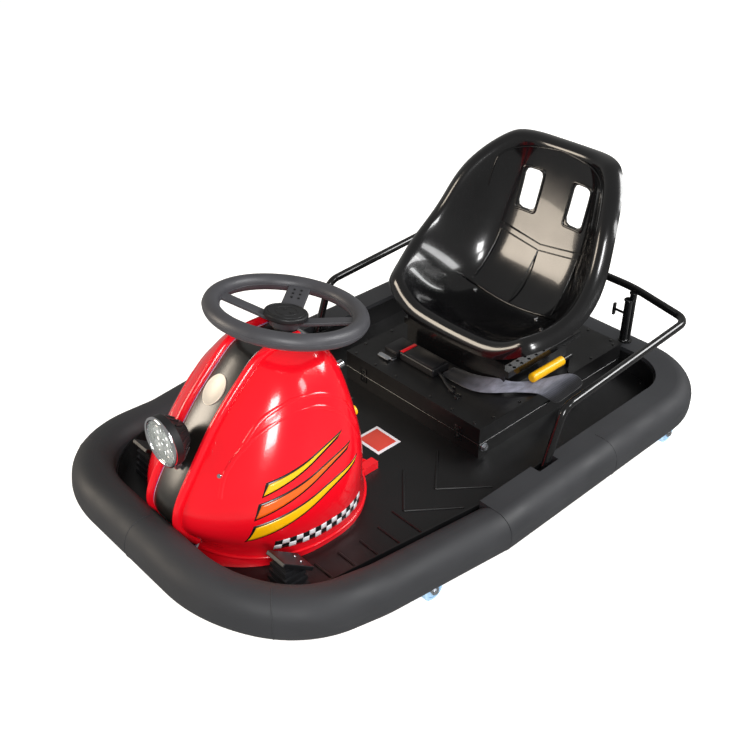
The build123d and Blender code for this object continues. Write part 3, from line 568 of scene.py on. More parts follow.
# Pressed lines are broad and stand out only a little
ARCH_R = 9.0
ARCH_SINK = 7.0
BADGE = (0.0, -435.0, 415.0)
BADGE_WIDE = 23.5
BADGE_TALL = 31.0
BADGE_T = 2.4
BADGE_RIM = 3.0
BADGE_SIDES = 48
COLLAR_R = 21.0
COLLAR_TUBE = 4.0
# A height along the column that is clear of the cowl
COLUMN_CLEAR = 500.0
STEER_FOOT = (0.0, -349.0, 100.0)
RAKE = 12.0


def steer_place():
    """From the steering frame, Z along the column, to the kart."""
    return Matrix.Translation(at(*STEER_FOOT)) @ Matrix.Rotation(radians(-RAKE), 4, "X")


def ring(place, radius, height, steps=RING_STEPS):
    """Points of a circle about an axis."""
    return [place @ at(radius * cos(FULL_TURN * n / steps), radius * sin(FULL_TURN * n / steps), height)
            for n in range(steps)]


class KART_OT_cowl_trim(Operator):
    """Mouldings, rivets, collar and bare badge of the cowl"""
    bl_idname = "kart.cowl_trim"
    bl_label = "Cowl trim"

    def execute(self, context):
        tree = skin(*COWL)
        ridges, skirts, arches = [], [], []
        heads = bmesh.new()
        for side in SIDES:
            pivot = at(side * RIDGE_X, *PIVOT)
            ways = [Vector((0, -cos(radians(turn)), sin(radians(turn)))) for turn in RIDGE_TURNS]
            ridges.append([landed(tree, pivot + way * AWAY, -way)[0] + way * RIDGE_RISE * MM for way in ways])
            middle = at(0, SKIRT_Y, SKIRT_Z)
            ways = [Vector((side * cos(radians(turn)), sin(radians(turn)), 0)) for turn in SKIRT_TURNS]
            skirts.append([landed(tree, middle + way * AWAY, -way)[0] for way in ways])
            across = Vector((-side, 0, 0))
            for arch in ARCHES:
                spots = [landed(tree, Vector((side * AWAY, y * MM, z * MM)), across) for y, z in arch]
                arches.append([place - normal * ARCH_SINK * MM for place, normal in spots])
            for x, y, z in RIVETS:
                place, normal, _, _ = tree.find_nearest(at(side * x, y, z))
                head(heads, place, normal, sizes().rivet, sizes().rivet)
        beads("cowl_ridges", ridges, RIDGE_R * MM, "gloss_red_abs", "cowl_red")
        beads("cowl_skirts", skirts, sizes().bead, "gloss_red_abs", "cowl_red")
        beads("cowl_arches", arches, ARCH_R * MM, "gloss_red_abs", "cowl_red")
        closed_piece("cowl_rivets", heads, "chrome_plate", "bracket_steel")
        self.badge(tree)
        self.collar(tree)
        return {"FINISHED"}

    def badge(self, tree):
        """Bare oval plate with a raised rim."""
        place, normal, _, _ = tree.find_nearest(at(*BADGE))
        seat = Matrix.Translation(place) @ normal.to_track_quat("Z", "Y").to_matrix().to_4x4()
        seat = seat @ Matrix.Diagonal((BADGE_WIDE * MM, BADGE_TALL * MM, BADGE_T * MM, 1))
        bm = bmesh.new()
        bmesh.ops.create_cone(bm, cap_ends=True, segments=BADGE_SIDES, radius1=1.0, radius2=1.0, depth=1.0,
                              matrix=seat)
        caps = [face for face in bm.faces if len(face.verts) == BADGE_SIDES]
        front = max(caps, key=lambda face: face.normal.dot(normal))
        for depth in (0.0, -BADGE_T * MM / 4):
            bmesh.ops.inset_region(bm, faces=[front], thickness=BADGE_RIM * MM / 2, depth=depth)
        closed_piece("spine_badge", bm, "satin_anodised_plate", "bracket_steel")

    def collar(self, tree):
        """Rubber ring where the column leaves the cowl."""
        place = steer_place()
        top = landed(tree, place @ at(COLLAR_R, 0, COLUMN_CLEAR), -place.col[2].to_3d())[0]
        height = (place.inverted() @ top).z / MM
        beads("column_collar", [ring(place, COLLAR_R, height)], COLLAR_TUBE * MM, "black_boot_rubber",
              "boot_rubber", closed=True)


# Side design: slanted bars over a band of chequers

# Front Y and Z, rear Y and Z, half height at the front and at the rear, film
BARS = (
    (-478, 196, -250, 262, 16, 3, "yellow_vinyl_film"),
    (-462, 242, -262, 298, 12, 3, "orange_vinyl_film"),
    (-440, 280, -276, 326, 9, 2, "yellow_vinyl_film"),
)
BAR_EDGE = 3.5
BAR_SLANT = 14.0
CHEQUER = 13.0
CHEQUER_ROWS = 2
CHEQUER_COLUMNS = 16
CHEQUER_Y = -446.0
CHEQUER_Z = 140.0
# Size of a film's faces, and how far each layer stands above the one below
FILM_GRID = 6.0
FILM_STEP = 0.4


def lay_cell(bm, corners, side, tree, lift):
    """Lay a four-cornered film, its corners given as Y and Z, on the flank of the cowl."""
    a, b, c, d = [Vector(corner) * MM for corner in corners]
    made = bmesh.ops.create_grid(bm, x_segments=ceil((b - a).length / (FILM_GRID * MM)),
                                 y_segments=ceil((d - a).length / (FILM_GRID * MM)), size=1.0)["verts"]
    for vert in made:
        u, v = (vert.co.x + 1) / 2, (vert.co.y + 1) / 2
        y, z = a.lerp(b, u).lerp(d.lerp(c, u), v)
        place, normal = landed(tree, Vector((side * AWAY, y, z)), Vector((-side, 0, 0)))
        vert.co = place + normal * lift * MM
    for face in {face for vert in made for face in vert.link_faces}:
        face.normal_update()
        if face.normal.x * side < 0:
            face.normal_flip()


def bar_corners(front_y, front_z, rear_y, rear_z, front_half, rear_half, edge):
    """Corners of a bar that leans forward and thins towards the rear, grown by an edge."""
    front, rear = front_half + edge, rear_half + edge
    return ((front_y - edge - BAR_SLANT, front_z - front), (rear_y + edge - BAR_SLANT, rear_z - rear),
            (rear_y + edge, rear_z + rear), (front_y - edge, front_z + front))


class KART_OT_side_design(Operator):
    """Printed bars and chequers on both flanks of the cowl"""
    bl_idname = "kart.side_design"
    bl_label = "Side design"

    def execute(self, context):
        tree = skin("cowl_left", "cowl_right")
        films = {}
        wide, tall = CHEQUER * CHEQUER_COLUMNS, CHEQUER * CHEQUER_ROWS
        band = ((CHEQUER_Y, CHEQUER_Z), (CHEQUER_Y + wide, CHEQUER_Z),
                (CHEQUER_Y + wide, CHEQUER_Z + tall), (CHEQUER_Y, CHEQUER_Z + tall))
        cells = [("black_vinyl_film", band, FILM_STEP)]
        for row in range(CHEQUER_ROWS):
            for column in range(row % 2, CHEQUER_COLUMNS, 2):
                y, z = CHEQUER_Y + column * CHEQUER, CHEQUER_Z + row * CHEQUER
                square = ((y, z), (y + CHEQUER, z), (y + CHEQUER, z + CHEQUER), (y, z + CHEQUER))
                cells.append(("white_vinyl_film", square, 2 * FILM_STEP))
        for *bar, film in BARS:
            cells.append(("black_vinyl_film", bar_corners(*bar, BAR_EDGE), FILM_STEP))
            cells.append((film, bar_corners(*bar, 0), 2 * FILM_STEP))
        for film, corners, lift in cells:
            for side in SIDES:
                lay_cell(films.setdefault(film, bmesh.new()), corners, side, tree, lift)
        for film, bm in films.items():
            made = piece("side_" + film, bm, film, "cowl_red")
            wall = made.modifiers.new("film", "SOLIDIFY")
            wall.thickness = sizes().film
            wall.offset = -1.0
        return {"FINISHED"}


# Head lamp

LAMP = (0.0, -556.0, 358.0)
LAMP_TURN = 90.0
BEZEL_R = 46.5
BEZEL_TUBE = 3.6
BEZEL_PROUD = 0.5
CUP_TURNS = range(45, 360, 90)
GLOW_R = 6.0
GLOW_SIDES = 16
GLOW_REACH = 20.0
GLOW_DEPTH = 8.0
CUP_RIM_R = 13.2
CUP_RIM_TUBE = 1.3
CUP_DEPTH = 3.6
FIN_TURNS = range(0, 360, 20)
FIN_R = (46.0, 34.0)
FIN_BACK = (20.0, 36.0)


def lamp_place():
    """From the lamp's own frame, facing Z, to the kart."""
    return Matrix.Translation(at(*LAMP)) @ Matrix.Rotation(radians(LAMP_TURN), 4, "X")


class KART_OT_lamp(Operator):
    """Bezel, bright cups and cooling fins of the head lamp"""
    bl_idname = "kart.lamp"
    bl_label = "Head lamp"

    def execute(self, context):
        place = lamp_place()
        beads("lamp_bezel", [ring(place, BEZEL_R, BEZEL_PROUD)], BEZEL_TUBE * MM, "chrome_plate",
              "lamp_chrome", closed=True)
        rims = []
        glows = bmesh.new()
        for turn in CUP_TURNS:
            spot = place @ Matrix.Rotation(radians(turn), 4, "Z") @ Matrix.Translation(at(GLOW_REACH, 0, 0))
            rims.append(ring(spot, CUP_RIM_R, -CUP_DEPTH))
            bmesh.ops.create_uvsphere(glows, u_segments=GLOW_SIDES, v_segments=GLOW_SIDES // 2,
                                      radius=GLOW_R * MM,
                                      matrix=spot @ Matrix.Translation(at(0, 0, -GLOW_DEPTH)))
        beads("lamp_cup_rims", rims, CUP_RIM_TUBE * MM, "chrome_plate", "lamp_chrome", closed=True)
        closed_piece("lamp_glows", glows, "white_vinyl_film", "lamp_chrome")
        fins = []
        for turn in FIN_TURNS:
            spin = place @ Matrix.Rotation(radians(turn), 4, "Z")
            fins.append([spin @ at(radius, 0, -back) for radius, back in zip(FIN_R, FIN_BACK)])
        beads("lamp_fins", fins, BEZEL_TUBE * MM / 2, "grained_black_abs", "lamp_black")
        return {"FINISHED"}


# Seat

# Raised lines on the seat's face: right half from the middle outwards, X, Y and Z near the surface
SEAT_LINES = (
    ((0, 482, 366), (60, 485, 372), (111, 486, 380)),
    ((0, 488, 379), (62, 490, 386), (116, 489, 396)),
    ((111, 486, 380), (113, 461, 328), (118, 403, 276)),
    ((0, 393, 265), (60, 394, 266), (118, 399, 275), (150, 381, 288)),
    ((0, 547, 588), (70, 542, 581), (112, 531, 571), (136, 508, 561), (147, 492, 538), (152, 480, 478)),
)
SEAT_MIDDLE_LINE = ((0, 482, 366), (0, 456, 322), (0, 393, 265))
# The way the seat's face looks, how far along it lines are lifted before they are laid on, and a place ahead
SEAT_FACING = (0.0, -0.55, 0.83)
SEAT_LIFT = 18.0
SEAT_FRONT = -200.0
SEAT_BOLTS = (93.0, 386.0, 264.0)
SEAT_BOLT_R = 5.0
SEAT_BOLT_T = 3.5
SLOT_X = 69.0
SLOT_Z = 496.0
# Control points of a slot's rim, X and Z from its middle
SLOT_OUTLINE = (
    (-28, -30), (-28, 30), (-28, 49), (-14, 49), (14, 49), (28, 49), (28, 30),
    (28, -30), (28, -49), (14, -49), (-14, -49), (-28, -49),
)
SLOT_RIM = 3.2
# Sections from the front lip to the top: Y and Z of the middle, lean, half width and depth at the rim,
# half of the flat
SEAT_SECTIONS = (
    (207.0, 283.0, -14.0, 192.0, 50.0, 128.0),
    (262.0, 256.0, -3.0, 213.0, 86.0, 138.0),
    (340.0, 250.0, 12.0, 230.0, 121.0, 142.0),
    (420.0, 272.0, 24.0, 226.0, 146.0, 142.0),
    (476.0, 335.0, 37.0, 214.0, 138.0, 140.0),
    (508.0, 420.0, 47.0, 200.0, 119.0, 136.0),
    (532.0, 490.0, 57.0, 183.0, 96.0, 126.0),
    (550.0, 562.0, 74.0, 157.0, 58.0, 110.0),
    (550.0, 600.0, 92.0, 130.0, 30.0, 88.0),
)
SEAT_T = 6.0
# Points along half a section, as shares of the flat and of the wing, and how far the flat is dished
FLAT_SHARES = (0.0, 0.55, 0.9)
WING_SHARES = (0.35, 0.7, 0.97)
DISH = 7.0
# Rolled rim: how far each ring of points lies outwards from the edge of the bowl, and back from it
RIM_ROLL = ((7.0, 3.0), (11.0, 12.0), (10.0, 24.0), (6.0, 34.0))
# Width and height of a slot, rounding of its corners, and where along Y its cut starts and ends
SLOT_SIZE = (50.0, 92.0)
SLOT_ROUND = 14.0
SLOT_RANGE = (400.0, 700.0)


def seat_row(section):
    """Points across the bowl at one section."""
    y, z, lean, half, depth, flat = section
    heel, crest = Vector((flat, DISH)), Vector((half, depth))
    right = [Vector((flat * share, DISH * share ** 2)) for share in FLAT_SHARES]
    right += [heel.lerp(crest, share) for share in WING_SHARES]
    lean = radians(lean)
    places = [at(u, y - v * sin(lean), z + v * cos(lean)) for u, v in right]
    return [Vector((-place.x, place.y, place.z)) for place in reversed(places[1:])] + places


def roll_rim(bm):
    """Carry the edge of an open bowl outwards and back, as a rolled flange."""
    bm.normal_update()
    edges = [edge for edge in bm.edges if edge.is_boundary]
    bases = {}
    for vert in {vert for edge in edges for vert in edge.verts}:
        first, second = [edge.other_vert(vert).co for edge in vert.link_edges if edge.is_boundary]
        out = (first - second).cross(vert.normal).normalized()
        inside = sum((face.calc_center_median() - vert.co for face in vert.link_faces), Vector())
        bases[vert] = (vert.co.copy(), -out if out.dot(inside) > 0 else out, vert.normal.copy())
    for outwards, back in RIM_ROLL:
        made = bmesh.ops.extrude_edge_only(bm, edges=edges)["geom"]
        fresh = {}
        for vert in (item for item in made if isinstance(item, bmesh.types.BMVert)):
            old = next(edge.other_vert(vert) for edge in vert.link_edges if edge.other_vert(vert) in bases)
            fresh[vert] = bases[old]
        for vert, (place, out, normal) in fresh.items():
            vert.co = place + (out * outwards - normal * back) * MM
        bases = fresh
        edges = [item for item in made if isinstance(item, bmesh.types.BMEdge)]


def drape(bm, rows):
    """Grid of faces through rows of points, with the points' row and column shares by vertex."""
    high, wide = len(rows) - 1, len(rows[0]) - 1
    shares = {}
    for vert in bmesh.ops.create_grid(bm, x_segments=wide, y_segments=high, size=1.0)["verts"]:
        share = Vector(((vert.co.x + 1) / 2, (vert.co.y + 1) / 2))
        vert.co = rows[round(share.y * high)][round(share.x * wide)]
        shares[vert] = share
    return shares


class KART_OT_seat(Operator):
    """Moulded seat with rolled rim and harness slots, its panel lines and bolts"""
    bl_idname = "kart.seat"
    bl_label = "Seat"

    def execute(self, context):
        self.trim(self.shell(context))
        return {"FINISHED"}

    def slots(self):
        """Blocks that cut the harness slots."""
        bm = bmesh.new()
        for side in SIDES:
            low = at(side * SLOT_X - SLOT_SIZE[0] / 2, SLOT_RANGE[0], SLOT_Z - SLOT_SIZE[1] / 2)
            high = at(side * SLOT_X + SLOT_SIZE[0] / 2, SLOT_RANGE[1], SLOT_Z + SLOT_SIZE[1] / 2)
            place = Matrix.Translation((low + high) / 2) @ Matrix.Diagonal((*(high - low), 1.0))
            made = bmesh.ops.create_cube(bm, size=1.0, matrix=place)["verts"]
            deep = {edge for vert in made for edge in vert.link_edges
                    if abs(edge.verts[0].co.y - edge.verts[1].co.y) > SLOT_ROUND * MM}
            bevelled(bm, list(deep), SLOT_ROUND * MM)
        return in_scene("slot_blocks", bm)

    def shell(self, context):
        """Bowl through its sections, with its rim rolled, its wall and its slots."""
        bm = bmesh.new()
        drape(bm, [seat_row(section) for section in SEAT_SECTIONS])
        roll_rim(bm)
        form = in_scene("seat_form", bm)
        cutter = self.slots()
        walled(form, SEAT_T * MM, 1.0)
        cut = form.modifiers.new("slots", "BOOLEAN")
        cut.operation = "DIFFERENCE"
        cut.object = cutter
        ready = bpy.data.meshes.new_from_object(form.evaluated_get(context.evaluated_depsgraph_get()))
        bm = bmesh.new()
        bm.from_mesh(ready)
        for spare in (form, cutter):
            old = spare.data
            bpy.data.objects.remove(spare)
            bpy.data.meshes.remove(old)
        bpy.data.meshes.remove(ready)
        made = closed_piece("seat_moulding", bm, "gloss_black_abs", "seat_plastic")
        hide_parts("seat_shell")
        return made

    def trim(self, seat):
        """Raised lines, slot rims and bolts, laid on the moulding."""
        tree = surface(seat.data)
        lift = Vector(SEAT_FACING) * SEAT_LIFT * MM

        def on_seat(x, y, z):
            return tree.find_nearest(at(x, y, z) + lift)

        lines = [[on_seat(*spot)[0] for spot in SEAT_MIDDLE_LINE]]
        rims = []
        bolts = bmesh.new()
        for side in SIDES:
            lines.extend([on_seat(side * x, y, z)[0] for x, y, z in line] for line in SEAT_LINES)
            rims.append([landed(tree, at(side * SLOT_X + x, SEAT_FRONT, SLOT_Z + z), Vector((0, 1, 0)))[0]
                         for x, z in SLOT_OUTLINE])
            place, normal, _, _ = on_seat(side * SEAT_BOLTS[0], *SEAT_BOLTS[1:])
            head(bolts, place, normal, SEAT_BOLT_R * MM, SEAT_BOLT_T * MM)
        beads("seat_lines", lines, sizes().crease, "gloss_black_abs", "seat_plastic")
        beads("seat_slot_rims", rims, SLOT_RIM * MM, "gloss_black_abs", "seat_plastic", closed=True)
        closed_piece("seat_bolts", bolts, "chrome_plate", "caster_steel")


# Hand wheel

PAD_TOP = 419.2
PAD_RINGS = ((35.0, 1.4), (21.0, 1.0))
PAD_BUTTONS = ((-10.0, 4.0), (10.0, 4.0))
PAD_BUTTON_R = 4.0
HAND_R = 140.0
HAND_TUBE_R = 16.0
WHEEL_LIFT = 421.0
RIM_SEAM = 0.9
RIM_SEAM_STEPS = 48
SPOKE_TURN = 129.0
SPOKE_SPOTS = ((82, -7), (82, 7), (96, -7), (96, 7), (110, -7), (110, 7))
SPOKE_SPOT_R = 2.4


class KART_OT_hand_wheel(Operator):
    """Rings and buttons of the pad, seam of the rim and dots on the broad spoke"""
    bl_idname = "kart.hand_wheel"
    bl_label = "Hand wheel"

    def execute(self, context):
        place = steer_place()
        axis = place.col[2].to_3d()
        for n, (radius, tube) in enumerate(PAD_RINGS):
            beads(f"pad_ring_{n}", [ring(place, radius, PAD_TOP)], tube * MM, "grained_black_abs",
                  "hand_foam", "steering", closed=True)
        seams = [ring(place, HAND_R + step * HAND_TUBE_R, WHEEL_LIFT, RIM_SEAM_STEPS) for step in SIDES]
        beads("rim_seams", seams, RIM_SEAM * MM, "grained_foam_skin", "hand_foam", "steering", closed=True)
        spots = bmesh.new()
        for x, y in PAD_BUTTONS:
            head(spots, place @ at(x, y, PAD_TOP), axis, PAD_BUTTON_R * MM, PAD_BUTTON_R * MM / 2)
        tree = skin("steering_wheel")
        spin = place @ Matrix.Rotation(radians(SPOKE_TURN), 4, "Z")
        for x, y in SPOKE_SPOTS:
            spot, normal = landed(tree, spin @ at(x, y, WHEEL_LIFT + HAND_R), -axis)
            head(spots, spot, normal, SPOKE_SPOT_R * MM, SPOKE_SPOT_R * MM)
        closed_piece("hand_wheel_dots", spots, "satin_black_nylon", "hand_foam", "steering")
        return {"FINISHED"}


# Floor

FLOOR_TOP = 105.0
# Pressed ribs on the left, X and Y of both ends; the last four make two chevrons
RIBS = (
    ((215, -392), (296, -392)),
    ((222, -340), (304, -340)),
    ((226, -288), (312, -288)),
    ((222, -236), (318, -236)),
    ((208, -184), (322, -184)),
    ((132, -79), (222, -166)),
    ((222, -166), (297, -71)),
    ((137, 20), (218, -72)),
    ((218, -72), (293, 19)),
)
PLATE_LOW = (-19.0, -81.0)
PLATE_HIGH = (57.0, -14.0)
PLATE_T = 0.8
PLATE_EDGE = 7.0
# Pieces of the plate from the bottom: name, how far in from its edge, film
PLATE_LAYERS = (
    ("floor_plate_edge", 0.0, "white_vinyl_film"),
    ("floor_plate_field", PLATE_EDGE, "red_vinyl_film"),
)
# Width of a floor screw as a share of a lid bolt's
SCREW_WIDTH = 1.5
FLOOR_SCREWS = ((310, -110), (322, 160), (322, 420), (280, 560), (100, 590), (262, -470))


class KART_OT_floor(Operator):
    """Pressed ribs, screws and a blank plate on the floor"""
    bl_idname = "kart.floor"
    bl_label = "Floor"

    def execute(self, context):
        ribs = []
        screws = bmesh.new()
        for side in SIDES:
            ribs.extend([at(side * x, y, FLOOR_TOP) for x, y in ends] for ends in RIBS)
            for x, y in FLOOR_SCREWS:
                head(screws, at(side * x, y, FLOOR_TOP), UP, SCREW_WIDTH * sizes().bolt, sizes().bolt)
        beads("floor_ribs", ribs, sizes().rib, "black_powder_coat", "tub_paint")
        closed_piece("floor_screws", screws, "black_gloss_enamel", "tub_paint")
        for n, (name, inset, film) in enumerate(PLATE_LAYERS):
            bm = bmesh.new()
            base = FLOOR_TOP + n * PLATE_T / 2
            slab(bm, at(PLATE_LOW[0] + inset, PLATE_LOW[1] + inset, base),
                 at(PLATE_HIGH[0] - inset, PLATE_HIGH[1] - inset, base + PLATE_T), PLATE_T * MM / 4)
            closed_piece(name, bm, film, "cowl_red")
        return {"FINISHED"}


# Battery box

LID_TOP = 180.0
BOX_HALF = 210.0
BOX_FRONT = 67.0
BOX_REAR = 565.0
BOX_SEAM = 140.0
BOLT_INSET = 9.0
FRONT_BOLTS = (-186, -120, -54, 54, 120, 186)
SIDE_BOLTS = (120, 205, 290, 375, 460, 545)
LIP_R = 1.6
CATCH_X = 150.0
CATCH_HALF = 10.0
CATCH_LOW = 122.0
CATCH_HIGH = 160.0
CATCH_T = 2.0
CORNER_BOLT = (211.0, 82.0, 128.0)
CORNER_BOLT_R = 8.0
# Width of its washer as a share of the bolt's, and thickness
WASHER = (1.3, 2.0)
# Height of a lid bolt as a share of its radius
BOLT_HEIGHT = 0.7


class KART_OT_battery_box(Operator):
    """Bolts, seam lip, catches and corner bolts of the battery box"""
    bl_idname = "kart.battery_box"
    bl_label = "Battery box"

    def execute(self, context):
        ahead = Vector((0, -1, 0))
        bolts, catches, corner = [bmesh.new() for _ in range(3)]
        spots = [(x, y) for x in FRONT_BOLTS for y in (BOX_FRONT + BOLT_INSET, BOX_REAR - BOLT_INSET)]
        spots += [(side * (BOX_HALF - BOLT_INSET), y) for side in SIDES for y in SIDE_BOLTS]
        for x, y in spots:
            head(bolts, at(x, y, LID_TOP), UP, sizes().bolt, sizes().bolt * BOLT_HEIGHT)
        for side in SIDES:
            slab(catches, at(side * CATCH_X - CATCH_HALF, BOX_FRONT - CATCH_T, CATCH_LOW),
                 at(side * CATCH_X + CATCH_HALF, BOX_FRONT, CATCH_HIGH), CATCH_T * MM / 3)
            for z in (CATCH_LOW + CATCH_HALF, CATCH_HIGH - CATCH_HALF):
                head(bolts, at(side * CATCH_X, BOX_FRONT - CATCH_T, z), ahead, sizes().bolt, sizes().bolt)
            place = at(side * CORNER_BOLT[0], *CORNER_BOLT[1:])
            out = Vector((side, 0, 0))
            head(corner, place, out, WASHER[0] * CORNER_BOLT_R * MM, WASHER[1] * MM)
            head(corner, place, out, CORNER_BOLT_R * MM, CORNER_BOLT_R * MM, HEX_SIDES)
        closed_piece("lid_bolts", bolts, "black_gloss_enamel", "box_paint")
        closed_piece("lid_catches", catches, "black_gloss_enamel", "box_paint")
        closed_piece("corner_bolts", corner, "zinc_plate", "caster_steel")
        half = BOX_HALF + LIP_R / 2
        rear = BOX_REAR + LIP_R / 2
        front = BOX_FRONT - LIP_R / 2
        corners = ((-half, front), (half, front), (half, rear), (-half, rear))
        edges = [[at(*start, BOX_SEAM), at(*end, BOX_SEAM)]
                 for start, end in zip(corners, corners[1:] + corners[:1])]
        beads("lid_seam", edges, LIP_R * MM, "black_gloss_enamel", "box_paint")
        return {"FINISHED"}


# Belt

# Near and far edge of the webbing, from the buckle across the lid and down the side of the box
STRAP_EDGES = (
    ((14, 152, 183), (14, 198, 183)),
    ((60, 152, 184), (60, 200, 186)),
    ((104, 154, 184), (104, 203, 198)),
    ((134, 170, 185), (140, 205, 212)),
    ((160, 200, 186), (163, 224, 203)),
    ((186, 230, 186), (177, 270, 192)),
    ((206, 250, 185), (192, 318, 187)),
    ((214, 262, 178), (207, 366, 186)),
    ((215, 286, 156), (214, 392, 172)),
    ((215, 322, 124), (215, 424, 134)),
)
STRAP_T = 1.8
# Points across the webbing: share from near to far, and how far they stand above the straight line
STRAP_ACROSS = ((0.0, 0.0), (0.25, 2.0), (0.5, 0.5), (0.75, 2.5), (1.0, 0.0))
# Blocks of the buckle and its tongue: piece, lowest and highest corner, rounding
BELT_BLOCKS = (
    ("belt_caps", (-86.0, 137.0, 198.0), (3.0, 181.0, 202.5), 2.2),
    ("belt_caps", (-143.0, 126.0, 187.0), (-102.0, 184.0, 199.0), 2.2),
    ("belt_button", (-100.8, 136.0, 186.0), (-91.0, 182.0, 201.2), 1.2),
    ("belt_tongue_plate", (-142.0, 102.0, 184.0), (-108.0, 134.0, 188.0), 1.2),
    ("belt_tongue_plate", (-147.5, 112.5, 181.0), (-102.5, 128.0, 185.0), 1.0),
)
# Finish and slot of each
BELT_FINISHES = {
    "belt_caps": ("satin_black_nylon", "belt_black"),
    "belt_button": ("red_nylon_button", "belt_black"),
    "belt_tongue_plate": ("zinc_plate", "belt_steel"),
}
STALK = ((8, 150, 187), (26, 146, 186), (44, 136, 184), (62, 128, 184), (82, 122, 184))
STALK_R = 4.0
ADJUSTERS = ((68, 131), (96, 119))
ADJUSTER_R = 9.0
ADJUSTER_T = 5.4


class KART_OT_belt(Operator):
    """Webbing, stalk and buckle trim of the seat belt"""
    bl_idname = "kart.belt"
    bl_label = "Belt"

    def execute(self, context):
        self.webbing()
        self.buckle()
        return {"FINISHED"}

    def webbing(self):
        """Strap draped through its two edges, with its weave laid out along it."""
        rows = []
        for near, far in STRAP_EDGES:
            near, far = at(*near), at(*far)
            rise = Vector((1, 0, 0)) if far.z < LID_TOP * MM else UP
            rows.append([near.lerp(far, share) + rise * lift * MM for share, lift in STRAP_ACROSS])
        middles = [sum(row, Vector()) / len(row) for row in rows]
        run = sum((b - a).length for a, b in zip(middles, middles[1:]))
        bm = bmesh.new()
        shares = drape(bm, rows)
        weave = bm.loops.layers.uv.new("weave")
        for face in bm.faces:
            for loop in face.loops:
                loop[weave].uv = shares[loop.vert] * Vector((sizes().web, run))
        made = piece("belt_strap", bm, "woven_polyester_web", "belt_fabric")
        walled(made, STRAP_T * MM, 0.0)
        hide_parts("belt_webbing")

    def buckle(self):
        """Blocks of the buckle, its stalk and the adjusters on the lid."""
        meshes = {name: bmesh.new() for name in BELT_FINISHES}
        for name, low, high, rounding in BELT_BLOCKS:
            slab(meshes[name], at(*low), at(*high), rounding * MM)
        for name, bm in meshes.items():
            closed_piece(name, bm, *BELT_FINISHES[name])
        bolts = bmesh.new()
        for x, y in ADJUSTERS:
            head(bolts, at(x, y, LID_TOP), UP, ADJUSTER_R * MM, ADJUSTER_T * MM)
            half = ADJUSTER_R / 2
            head(bolts, at(x, y, LID_TOP + half), UP, half * MM, half * MM, HEX_SIDES)
        closed_piece("belt_anchors", bolts, "black_gloss_enamel", "belt_black")
        beads("belt_stalk", [[at(*spot) for spot in STALK]], STALK_R * MM, "satin_black_nylon", "belt_black")


# Pedals

PEDAL_PLACE = (222.0, -454.0, 161.0)
PEDAL_SLOPE = 38.0
PEDAL_T = 9.0
PEDAL_SCREWS = ((-9.0, 18.0), (9.0, 18.0))
PEDAL_SCREW_R = 2.6


class KART_OT_pedals(Operator):
    """Screws in the pedals"""
    bl_idname = "kart.pedals"
    bl_label = "Pedals"

    def execute(self, context):
        screws = bmesh.new()
        for side in SIDES:
            place = Matrix.Translation(at(side * PEDAL_PLACE[0], *PEDAL_PLACE[1:]))
            place = place @ Matrix.Rotation(radians(-PEDAL_SLOPE), 4, "X")
            for x, y in PEDAL_SCREWS:
                head(screws, place @ at(x, y, PEDAL_T / 2), place.col[2].to_3d(), PEDAL_SCREW_R * MM,
                     PEDAL_SCREW_R * MM)
        closed_piece("pedal_screws", screws, "zinc_plate", "pedal_plastic")
        return {"FINISHED"}


# Casters and drive wheel

CASTERS = {
    "rear_left": (375.0, 516.0),
    "rear_right": (-375.0, 516.0),
    "side_left": (352.0, -241.0),
    "side_right": (-352.0, -241.0),
}
# Axle of a caster: how far behind the swivel, how high, and how far out its nuts are
CASTER_TRAIL = 22.0
CASTER_AXLE_Z = 25.0
CASTER_REACH = 14.5
NUT_R = 6.5
NUT_T = 4.0
# Half of the tyre's section: distance from the middle plane and radius, from the bead to the crown
TYRE_SECTION = (
    (20.0, 72.2), (24.0, 76.0), (25.0, 84.0), (23.5, 92.0), (19.0, 97.5), (12.0, 99.5), (4.0, 100.0),
)
# Radius from which there is tread, its depth, the edge of a groove and the steps from groove to groove
TREAD_FROM = 92.5
TREAD_DEPTH = 3.0
TREAD_EDGE = 0.6
TREAD_PERIOD = 4
RIM_BOLTS = 5
RIM_BOLT_REACH = 52.0
RIM_BOLT_R = 5.0
RIM_FACE = 21.0
AXLE_NUT_X = 44.0
AXLE_NUT_R = 13.0


